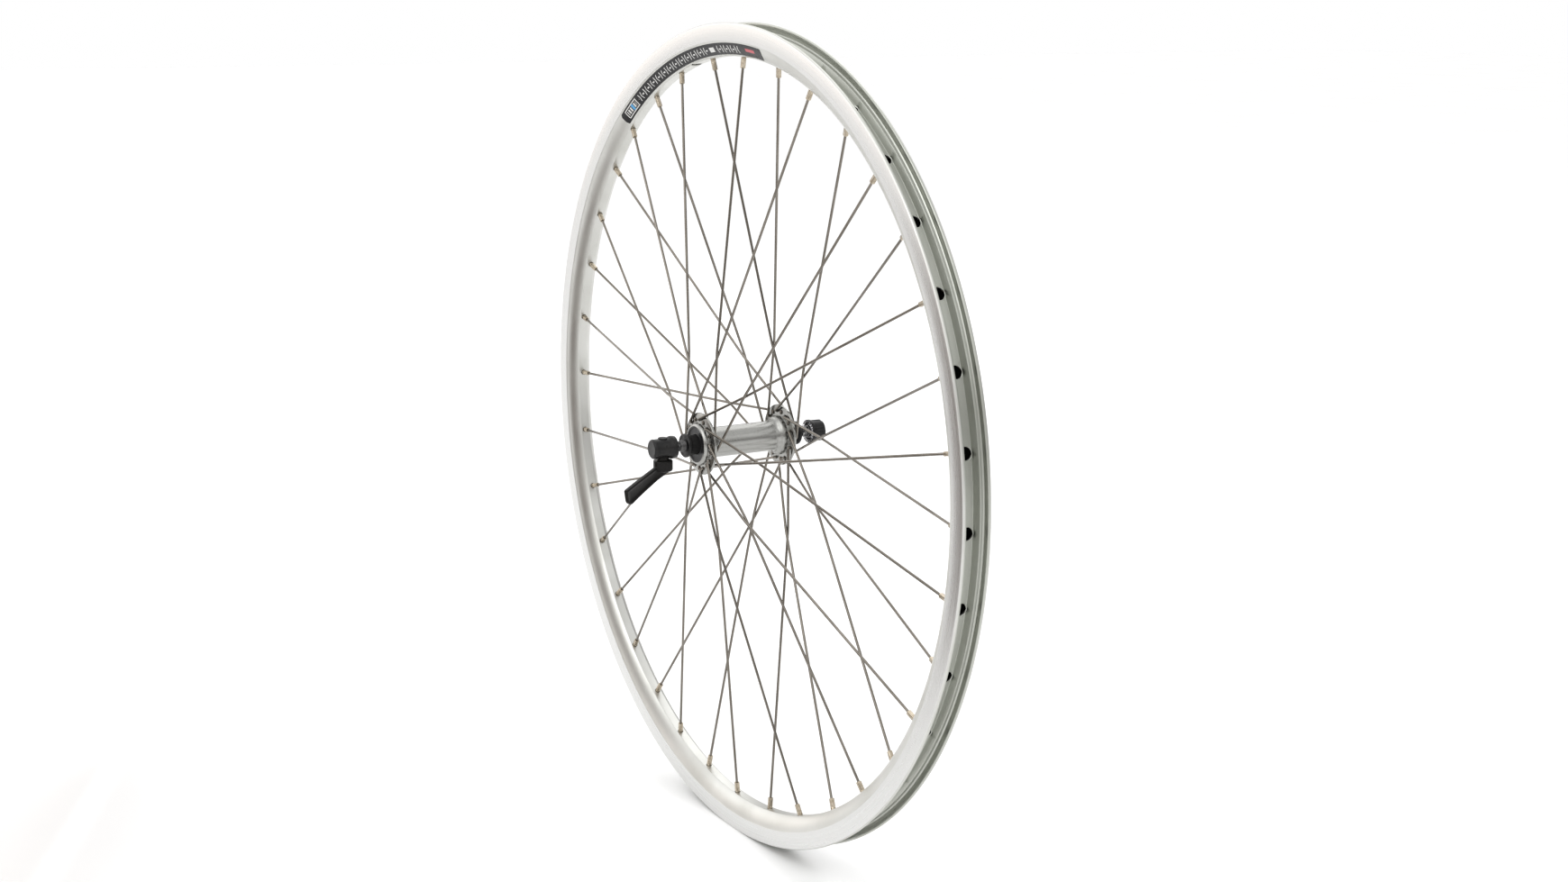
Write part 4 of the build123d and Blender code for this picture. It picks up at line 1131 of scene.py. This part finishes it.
# %% Four sets of spokes
SPOKE_TREE = make_spoke_tree()
WIRE = 1.0
HEAD_RADIUS = 1.75
THREAD_GAP = 1.2
CROSSING_BEND = 100.0
for set_name, (side, first, way, outside) in LACING.items():
    route = spoke_route(side, first, way, outside)
    route[3] = route[3] - (route[3] - route[2]).normalized() * THREAD_GAP
    head = turned("spoke_head", soften([(0, -0.05), (WIRE, -0.05), (HEAD_RADIUS, 0.25),
                                        (HEAD_RADIUS, 0.62), (1.2, 0.86), (0, 0.93)], 0.12),
                  SPOKE_METAL, 28)
    outward = route[0] - route[1]
    facing = Matrix.Rotation(pi, 4, "X") if outward.y < 0 else Matrix.Identity(4)
    head.data.transform(Matrix.Translation(route[0] * MM) @ facing)
    bends = rounded_route(route, [ELBOW, CROSSING_BEND], [10, 6])
    spokes = run_trees(set_name.replace("spokes", "spoke_set"), route_curve(set_name, bends), [
        (SPOKE_TREE, {"Head": head, "Wire Radius": WIRE * MM, "Copies": SPOKES // 4,
                      "Step": radians(4 * HOLE_STEP), "Material": SPOKE_METAL})], sharp=40)
    drop(head)
    fit(spokes, "wheel", "stainless_spoke", set_name)

# %% [markdown]
# ## Nipples
# A nipple is a brass nut turned round at the rim and milled square where the spoke key grips it.
# A lathe alone can't turn a square, and a Boolean would leave hard edges, so its sides are
# rings of points that pass from a circle to a rounded square, and then back down the bore. The
# tree for setting out copies puts eighteen of them at the marks of each side.


# %% A skin through rings of points
def looped_skin(name, rings, material, sharp):
    """A skin through rings of points in millimetres, the last ring joined to the first."""
    size = len(rings[0])
    faces = []
    for n in range(len(rings)):
        a, b = n * size, (n + 1) % len(rings) * size
        for m in range(size):
            k = (m + 1) % size
            faces.append((a + m, a + k, b + k, b + m))
    mesh = new_mesh(name, [Vector(point) * MM for ring in rings for point in ring], faces)
    mesh.materials.append(material)
    mesh.shade_smooth()
    mesh.set_sharp_from_angle(angle=radians(sharp))
    return put_in_scene(name, mesh)


def face_outwards(piece):
    """Turns a closed skin the right way out."""
    if volume(piece.data) < 0:
        piece.data.flip_normals()
    return piece


# %% One nipple
def nipple_ring(y, radius, square=None, count=32):
    """A ring round the nipple's own axis, Y: a circle, or a square cut by a circle."""
    ring = []
    for n in range(count):
        angle = 2 * pi * (n + 0.5) / count
        r = radius
        if square:
            r = min(radius, square / 2 / max(abs(cos(angle)), abs(sin(angle))))
        ring.append((r * cos(angle), y, r * sin(angle)))
    return ring


def make_nipple():
    seat, head, neck, bore = SEAT_RADIUS, 3.1, 2.0, 1.03
    rim_y = -sqrt(seat**2 - head**2)
    top = rim_y + 1.4
    round_end, bottom = top - 5.9, top - 12.9
    rings = [nipple_ring(top, bore), nipple_ring(top, head - 0.45),
             nipple_ring(top - 0.1, head - 0.12), nipple_ring(top - 0.4, head),
             nipple_ring(rim_y, head)]
    for n in range(1, 5):
        r = head + (neck - head) * n / 4
        rings.append(nipple_ring(-sqrt(seat**2 - r**2), r))
    rings += [nipple_ring(round_end + 0.12, neck), nipple_ring(round_end - 0.05, neck - 0.04, 3.5),
              nipple_ring(round_end - 0.25, neck, 3.27), nipple_ring(bottom + 0.45, neck, 3.25),
              nipple_ring(bottom + 0.1, neck - 0.22, 3.1), nipple_ring(bottom, neck - 0.42, 2.9),
              nipple_ring(bottom, bore + 0.25), nipple_ring(bottom + 0.2, bore)]
    return face_outwards(looped_skin("nipple", rings, NIPPLE_METAL, sharp=30))


nipple = make_nipple()
for side, node in ((-1, "lever_side_nipples"), (1, "nut_side_nipples")):
    where = marks(seats(side))
    nipples = run_trees(node.replace("nipples", "nipple_set"), bpy.data.meshes.new(node), [
        (SET_OUT, {"Places": where, "Tool": nipple, "Material": NIPPLE_METAL})], sharp=30)
    drop(where)
    fit(nipples, "wheel", "nickelled_brass", node)
drop(nipple)

# %% [markdown]
# ## The hub shell
# The shell is forged, turned and polished: a plain barrel, shoulders that bulge under the
# flanges, flanges that thin to a round edge, and a collar at each end that holds the bearing cup.
# Cylinders could be stacked for it, but the flowing shoulders would be lost, so one section is
# turned, mirrored about the middle. Eighteen holes a side take the spokes.


# %% Shell
BARREL = 11.7
BORE = 8.5
SHOULDER = 15.4
CAP_RECESS = 13.9
CUP_RECESS = 12.6
CAP_DEPTH = 2.0
RECESS_DEPTH = 9.2


def hub_half_section():
    inner, outer = FLANGE_INNER, FLANGE_OUTER
    return section(
        (BARREL, 0),
        (BARREL, inner - 9.2),
        ((12.2, inner - 6.9), (13.6, inner - 5.1)),
        ((14.9, inner - 3.7), (SHOULDER, inner - 1.9)),
        (SHOULDER, inner),
        (23.4, inner),
        ((23.82, inner + 0.18), (24.0, inner + 0.6)),
        (24.0, outer - 1.4),
        ((23.88, outer - 1.05), (23.5, outer - 0.85)),
        (21.0, outer),
        (16.9, outer),
        ((16.5, outer + 0.15), (16.4, outer + 0.5)),
        (16.3, outer + 1.4),
        ((15.7, outer + 2.8), (14.5, SHELL_END)),
        (CAP_RECESS, SHELL_END),
        (CAP_RECESS, SHELL_END - CAP_DEPTH),
        (CUP_RECESS, SHELL_END - CAP_DEPTH),
        (CUP_RECESS, SHELL_END - RECESS_DEPTH),
        (BORE, SHELL_END - RECESS_DEPTH),
        (BORE, 0),
        arc=8)


def flange_marks():
    """Marks at the flange holes, facing along the axle."""
    found = []
    for side, first, way, outside in LACING.values():
        for hole in range(first, SPOKES, 4):
            angle = FIRST_HOLE - hole * HOLE_STEP + way * LACING_ANGLE
            middle = side * (FLANGE_INNER + FLANGE_OUTER) / 2
            found.append((polar(SPOKE_CIRCLE, angle, middle), Vector((0, side, 0)),
                          Vector((1, 0, 0))))
    return found


flange_drill = turned("flange_drill", [
    (0, -2.2), (1.75, -2.2), (1.55, -1.5), (1.25, -1.2), (1.25, 1.2), (1.55, 1.5), (1.75, 2.2),
    (0, 2.2)], HUB_METAL, 28)
shell = turned("hub_body", soften(both_halves(hub_half_section()), 0.25, turn_limit=22), HUB_METAL,
               segments=160)
shell = worked(shell, HUB_METAL, [(DRILL, flange_drill, marks(flange_marks()))])
fit(shell, "wheel", "polished_hub", "hub_shell")

# %% [markdown]
# ## Caps, boots and locknuts
# Each end of the hub has a black dished cap, a rubber boot over the cone, and a locknut whose
# grooved face bites the fork. A bump could draw the grooves, but they show at a low angle, so they
# are turned for real. The pieces are the same on both sides, so one loop turns both from one
# section and its mirror image.

# %% Sections at the end of the hub
cap_section = soften([
    (7.9, SHELL_END - CAP_DEPTH), (13.88, SHELL_END - CAP_DEPTH), (13.88, SHELL_END - 0.2),
    (13.0, SHELL_END - 0.2), (12.4, SHELL_END - 1.1), (8.7, SHELL_END - 1.3),
    (7.9, SHELL_END - 0.8)], 0.25)
lip = LOCKNUT_FACE - 1.82
boot_section = soften(section(
    (7.22, SHELL_END - 1.2), (7.5, SHELL_END - 1.2), (7.5, lip - 2.6),
    ((7.8, lip - 1.7), (8.5, lip - 1.2)), (8.8, lip - 0.9), (8.8, lip), (7.22, lip)), 0.15)
face = LOCKNUT_FACE
locknut_section = soften([
    (4.55, 45.1), (6.2, 45.1), (6.2, face - 1.8), (9.2, face - 1.8), (9.2, face - 0.5),
    (8.7, face), (8.6, face), (8.6, face - 0.3), (8.2, face - 0.3), (8.2, face), (7.6, face),
    (7.6, face - 0.3), (7.2, face - 0.3), (7.2, face), (6.6, face), (6.6, face - 0.3),
    (6.2, face - 0.3), (6.2, face), (4.9, face), (4.55, face - 0.35)], 0.12)

# %% Both ends of the hub
END_PIECES = (
    ("cap", cap_section, CAP_PLASTIC, "wheel", "black_plastic", "dust_cap"),
    ("boot", boot_section, BOOT_RUBBER, "axle", "black_rubber", "rubber_boot"),
    ("nut", locknut_section, BLACK_STEEL, "axle", "black_steel", "locknut"),
)
for side_name, turn_over in (("lever_side", mirrored), ("nut_side", list)):
    for part, drawn, finish, body, slot, node in END_PIECES:
        fit(turned(f"{side_name}_{part}", turn_over(drawn), finish), body, slot,
            f"{side_name}_{node}")

# %% [markdown]
# ## The axle
# The axle is a hollow tube threaded at both ends. A true thread could be swept as a helix, at
# many times the faces. At this size a thread reads as close rings, so its section has a sawtooth
# of one millimetre pitch where the locknuts screw on.


# %% Axle
def axle_section():
    start, pitch, root, crest = 33.0, 1.0, 4.08, 4.5
    tooth_y = start
    half = [(crest, 0.0), (crest, start - 0.4)]
    while tooth_y + pitch < AXLE_END - 0.7:
        half += [(root, tooth_y), (crest, tooth_y + 0.42), (crest, tooth_y + 0.56)]
        tooth_y += pitch
    half += [(root, tooth_y), (root - 0.1, AXLE_END - 0.1), (3.9, AXLE_END), (3.0, AXLE_END),
             (2.58, AXLE_END - 0.4), (2.58, 0.0)]
    return half[1:-1] + [(r, -y) for r, y in reversed(half[1:-1])]


fit(turned("axle_tube", axle_section(), AXLE_METAL, 72, sharp=50), "axle", "plated_steel",
    "hollow_axle")

# %% [markdown]
# ## Clamp rings and springs
# A hardened ring at each clamp bites the outside of the fork end. Its face is cut into twenty
# teeth. They could be cut with a wedge, but the lathe tree can press them in wherever the section
# is marked as toothed. Behind each ring a conical spring keeps the skewer centred. A Screw modifier
# keeps one radius, so a tree winds the wire along a spiral that widens.


# %% Clamp rings
TEETH = 20
TOOTH_HEIGHT = 0.42


def clamp_ring(name, face_y, facing, body, slot, material, node):
    """A toothed ring whose face looks along -facing."""
    inner, outer, thick, edge = 6.3, 8.6, 1.3, 0.12
    back_y = face_y + facing * thick
    rows = [(inner + edge + (outer - inner - 2 * edge) * k / 4, face_y) for k in range(5)]
    points = rows + soften([(outer, face_y), (outer, back_y), (inner, back_y), (inner, face_y)],
                           edge)
    toothed = lambda r, y: abs(y - face_y) < 0.02 and inner + 0.05 < r < outer - 0.05
    made = turned(name, points, material, segments=240, tooth=toothed, sharp=25, teeth=TEETH,
                  tooth_height=facing * TOOTH_HEIGHT * MM)
    return fit(made, body, slot, node)


clamp_ring("lever_side_teeth", -CLAMP_FACE, -1, "cam_housing_set", "black_steel", BLACK_STEEL,
           "lever_side_clamp_ring")
clamp_ring("nut_side_teeth", NUT_FACE, 1, "nut_ring", "plated_steel", BEARING_METAL,
           "nut_clamp_ring")


# %% The spring tree
def make_spring_tree():
    tree, given, result = new_tree(
        "Coil a conical spring", "GeometryNodeTree",
        [("Geometry", "NodeSocketGeometry", None), ("Turns", "NodeSocketFloat", 4.0),
         ("Small Radius", "NodeSocketFloat", 0.003), ("Large Radius", "NodeSocketFloat", 0.005),
         ("Height", "NodeSocketFloat", 0.008), ("Wire Radius", "NodeSocketFloat", 0.0004),
         ("Material", "NodeSocketMaterial", None)],
        [("Geometry", "NodeSocketGeometry")])
    coil = add_node(tree, "GeometryNodeCurveSpiral", {
        "Rotations": given["Turns"], "Start Radius": given["Small Radius"],
        "End Radius": given["Large Radius"], "Height": given["Height"], "Resolution": 36})
    wire = swept_wire(tree, coil.outputs[0], given["Wire Radius"], sides=10)
    return end_tree(tree, wire, given["Material"], result)


# %% Both springs
SPRING_TREE = make_spring_tree()


def spring(name, small_end, large_end):
    """A spring from its small coil at the axle to its large coil in the clamp."""
    turns, small, large, wire, gap = 4.0, 3.3, 5.5, 0.4, 0.45
    towards = 1 if large_end > small_end else -1
    height = abs(large_end - small_end) - 2 * gap
    made = run_trees(name, bpy.data.meshes.new(name), [(SPRING_TREE, {
        "Turns": turns, "Small Radius": small * MM, "Large Radius": large * MM,
        "Height": height * MM, "Wire Radius": wire * MM, "Material": SPRING_METAL})])
    made.data.transform(Matrix.Translation((0, (small_end + towards * gap) * MM, 0))
                        @ Matrix.Rotation(-towards * pi / 2, 4, "X"))
    return made


fit(spring("lever_side_coil", -AXLE_END, -(CLAMP_FACE + 2.4)), "cam_housing_set", "spring_steel",
    "lever_side_spring")
nut_coil = spring("nut_side_coil", AXLE_END + 1.0, NUT_FACE + 3.5)
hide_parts("nut_side_spring")
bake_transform(nut_coil)

# %% [markdown]
# ## The cam housing
# The housing is a black barrel with a wider shoulder against the fork, a small boss on top where
# the cam's end runs, and a domed cap that closes its outer end. Barrel and cap are turned. The boss
# stands across the barrel, where turning can't reach, so the weld tree puts it on, and the drill
# tree opens the hole below it for the cam's journal.

# %% Housing barrel
CAM_CENTRE = Vector((0, -CAM_Y, 0))
CAP_LENGTH = 2.1
RING_THICKNESS = 1.3
shoulder_face = -(CLAMP_FACE + RING_THICKNESS)
bore_end = -(HOUSING_END - CAP_LENGTH)
housing_section = soften(section(
    (2.58, -60.8), (2.58, -61.9), (5.9, -61.9), (5.9, bore_end), (7.4, bore_end),
    (7.7, shoulder_face - 5.0), ((7.85, shoulder_face - 4.2), (8.5, shoulder_face - 2.7)),
    (8.8, shoulder_face - 1.6), (8.8, shoulder_face), (6.1, shoulder_face), (6.1, -60.8)), 0.35)
boss = turned("boss", soften([(0, 5.5), (3.7, 5.5), (3.7, 8.1), (2.9, 8.38), (0, 8.4)], 0.4),
              HOUSING_PAINT, 64)
journal_drill = turned("journal_drill", [(0, 3.0), (4.65, 3.0), (4.65, 11.0), (0, 11.0)],
                       HOUSING_PAINT, 64)
upward = marks([(CAM_CENTRE, Vector((0, 0, 1)), Vector((1, 0, 0)))])
downward = marks([(CAM_CENTRE, Vector((0, 0, -1)), Vector((1, 0, 0)))])
housing = worked(turned("cam_barrel", housing_section, HOUSING_PAINT, segments=128), HOUSING_PAINT,
                 [(WELD, boss, upward), (DRILL, journal_drill, downward)])
fit(housing, "cam_housing_set", "black_alloy", "cam_housing")

# %% Domed end cap
cap_start, cap_end = bore_end, -HOUSING_END
end_cap = turned("barrel_end_cap", soften(section(
    (0, cap_start + 1.0), (5.88, cap_start + 1.0), (5.88, cap_start), (7.6, cap_start),
    (7.58, cap_start - 0.5), ((7.2, cap_start - 1.55), (6.0, cap_end + 0.02)),
    ((3.0, cap_end + 0.12), (0, cap_end + 0.15)), arc=10), 0.12), CAP_PLASTIC, 96)
fit(end_cap, "cam_housing_set", "black_plastic", "housing_end_cap")

# %% [markdown]
# ## The lever
# The lever is cast in one piece: a round head under the housing, and a bowed blade that sweeps
# down and out to the thumb. No rule gives that shape, so it could be sculpted or subdivided from a
# few faces. Here the blade is a grid whose long edges follow its two outlines, puffed out like a
# flat pillow so that its edges are round, with a shallow hollow for the thumb. Head and blade are
# then remeshed into one skin and smoothed, which blends them as a casting is.


# %% Blade of the lever
LEVER_ANGLE = -65.8
LEVER_ALONG = polar(1, LEVER_ANGLE).xzy
LEVER_ACROSS = polar(1, LEVER_ANGLE + 90).xzy
LEVER_LENGTH = 44.0
HEAD_TOP = -9.1


def even_points(line, count):
    """The same number of points at even steps along a polyline."""
    line = [Vector(p) for p in line]
    reach = [0.0]
    for a, b in zip(line, line[1:]):
        reach.append(reach[-1] + (b - a).length)
    found = []
    for n in range(count):
        at = reach[-1] * 0.5 * (1 - cos(pi * n / (count - 1)))
        k = max(i for i in range(len(line) - 1) if reach[i] <= at + 1e-9)
        t = (at - reach[k]) / (reach[k + 1] - reach[k])
        found.append(line[k].lerp(line[k + 1], min(1.0, t)))
    return found


def lever_blade():
    """Two sheets, the near and far face, whose edges meet along the outlines."""
    top_line = section((-6.3, -12.4), (7.6, -13.8), ((26.4, -19.7), (42.0, -24.3)), (43.6, -25.0),
                       arc=30)
    low_line = section((-6.3, -19.2), (6.4, -23.6), (35.5, -36.0), ((39.5, -36.3), (41.8, -34.0)),
                       arc=12)
    stations, rows = 96, 24
    top, low = even_points(top_line, stations), even_points(low_line, stations)
    bow, bow_radius = 1.6, 303.3
    hollow_depth, hollow_middle, hollow_length, hollow_width = 0.9, 0.60, 0.34, 0.36
    verts = []
    for face in (1, -1):
        for n in range(stations):
            t = n / (stations - 1)
            for m in range(rows):
                w = 0.5 - 0.5 * cos(pi * m / (rows - 1))
                spot = low[n].lerp(top[n], w)
                edge = (1 - abs(2 * w - 1)**7)**(1 / 7) * (1 - abs(2 * t - 1)**26)**(1 / 7)
                thick = 2.35 - 0.55 * t
                hollow = 0.0
                if face == 1:
                    in_w = max(0.0, 1 - (abs(w - 0.5) / hollow_width)**2)
                    in_t = max(0.0, 1 - (abs(t - hollow_middle) / hollow_length)**2)
                    hollow = hollow_depth * sqrt(in_w) * min(1.0, 1.6 * in_t)
                bent = -bow + (spot.x - LEVER_LENGTH / 2)**2 / (2 * bow_radius)
                out = bent + face * (thick * edge) - hollow * edge
                verts.append((CAM_CENTRE + LEVER_ALONG * spot.x + LEVER_ACROSS * out
                              + Vector((0, 0, spot.y))) * MM)
    faces = []
    sheet = stations * rows
    for n in range(stations - 1):
        for m in range(rows - 1):
            a = n * rows + m
            faces.append((a, a + 1, a + rows + 1, a + rows))
            faces.append((sheet + a, sheet + a + rows, sheet + a + rows + 1, sheet + a + 1))
    blade = put_in_scene("blade", new_mesh("blade", verts, faces))
    weld = blade.modifiers.new("weld", "WELD")
    weld.merge_threshold = 0.02 * MM
    return blade


# %% Head, blade and cam in one piece
def baked(piece, name):
    """The piece with its modifiers made real."""
    graph = bpy.context.evaluated_depsgraph_get()
    mesh = bpy.data.meshes.new_from_object(piece.evaluated_get(graph))
    drop(piece)
    return put_in_scene(name, mesh)


blade = baked(lever_blade(), "blade")
head = turned("lever_head", soften([
    (0, 0), (7.0, 0), (7.5, 0.5), (7.5, 7.6), (6.6, 8.55), (0, 8.6)], 0.5), LEVER_PAINT, 96)
head.data.transform(Matrix.Translation((0, -CAM_Y * MM, HEAD_TOP * MM))
                    @ Matrix.Rotation(-pi / 2, 4, "X"))
points, faces = [], []
for part in (blade, head):
    base = len(points)
    points += [v.co.copy() for v in part.data.vertices]
    faces += [[base + k for k in polygon.vertices] for polygon in part.data.polygons]
drop(blade, head)
casting = put_in_scene("lever_casting", new_mesh("lever_casting", points, faces))
skin = casting.modifiers.new("skin", "REMESH")
skin.mode = "VOXEL"
skin.voxel_size = 0.28 * MM
ease = casting.modifiers.new("ease", "SMOOTH")
ease.factor = 0.5
ease.iterations = 7
casting = face_outwards(baked(casting, "lever_casting"))
casting.data.materials.clear()
casting.data.materials.append(LEVER_PAINT)
print("lever_casting:", len(casting.data.polygons), "faces")

# %% The cam's shaft
CAM_THROW = 1.3
CAM_THROW_ANGLE = 204
journal = turned("journal", [
    (0, 2.6), (4.5, 2.6), (4.6, 2.7), (4.6, 9.8), (0, 9.8)], LEVER_PAINT, 64)
pin = turned("cam_pin", [(0, -2.6), (2.6, -2.6), (2.6, 2.7), (0, 2.7)], LEVER_PAINT, 48)
tail = turned("cam_tail", [
    (0, -7.3), (2.2, -7.3), (2.4, -7.1), (2.4, -2.5), (0, -2.5)], LEVER_PAINT, 48)
pin_centre = CAM_CENTRE + polar(CAM_THROW, CAM_THROW_ANGLE).xzy
down, east = Vector((0, 0, -1)), Vector((1, 0, 0))
lever = worked(casting, LEVER_PAINT, [
    (WELD, journal, marks([(CAM_CENTRE, down, east)])),
    (WELD, pin, marks([(pin_centre, down, east)])),
    (WELD, tail, marks([(CAM_CENTRE, down, east)]))], sharp=50)
fit(lever, "lever", "black_alloy", "quick_release_lever")

# %% [markdown]
# ## The adjusting nut
# The nut is black plastic over a steel core, with six flutes for the fingers and a chamfered end.
# Six Booleans would cut flutes with hard edges. The lathe tree mills them instead where the
# section is marked, and fades them in past the shoulder, as a moulded grip has them.

# %% Nut
nut_start, nut_end = NUT_FACE + 0.2, NUT_FACE + 12.6
nut_points = section(
    (2.55, 63.4), (6.1, 63.4), (6.1, 61.3), (8.7, 61.3), (8.7, nut_start), (9.2, nut_start),
    (9.2, nut_start + 1.9), ((9.0, nut_start + 2.4), (8.62, nut_start + 2.7)),
    (8.61, 63.1), (8.6, 63.4), (8.59, 63.7), (8.58, 64.0), (8.57, 64.3), (8.5, 67.5),
    (8.42, nut_end - 1.9), ((8.05, nut_end - 0.65), (6.9, nut_end)),
    (3.3, nut_end), (2.55, nut_end - 0.4), arc=8)


def flute_share(r, y):
    """How far a point of the section is milled: fades in past the shoulder and off the end."""
    along = min(1.0, max(0.0, (y - 63.1) / 1.0))
    return along * min(1.0, max(0.0, (r - 6.9) / 1.3))


nut = turned("finger_nut", soften(nut_points, 0.2), NUT_PLASTIC, segments=288, flute=flute_share,
             flutes=6, flute_depth=0.8 * MM, flute_width=0.19, flute_start=1 / 6)
fit(nut, "nut", "black_plastic", "adjusting_nut")

# %% [markdown]
# ## Pieces that keep their shape
# The rod, and the pieces sealed inside the hub and the rim, already have the right shape in the
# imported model. They could be built again, with nothing gained, so they only get their finish.

# %% Finishes for the rod and the inner pieces
INNER_FINISH = {
    "skewer_rod": PLATED_METAL,
    "rim_joint_sleeve": RIM_METAL,
}
for side_name in ("lever_side", "nut_side"):
    for piece_name, finish in (("bearing_cup", BEARING_METAL), ("bearing_balls", BEARING_METAL),
                               ("ball_retainer", PLATED_METAL), ("cone", PLATED_METAL),
                               ("washer", PLATED_METAL)):
        INNER_FINISH[f"{side_name}_{piece_name}"] = finish
for node_name, finish in INNER_FINISH.items():
    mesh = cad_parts[node_name].data
    mesh.materials.clear()
    mesh.materials.append(finish)
print("finished from the model:", len(INNER_FINISH), "pieces")
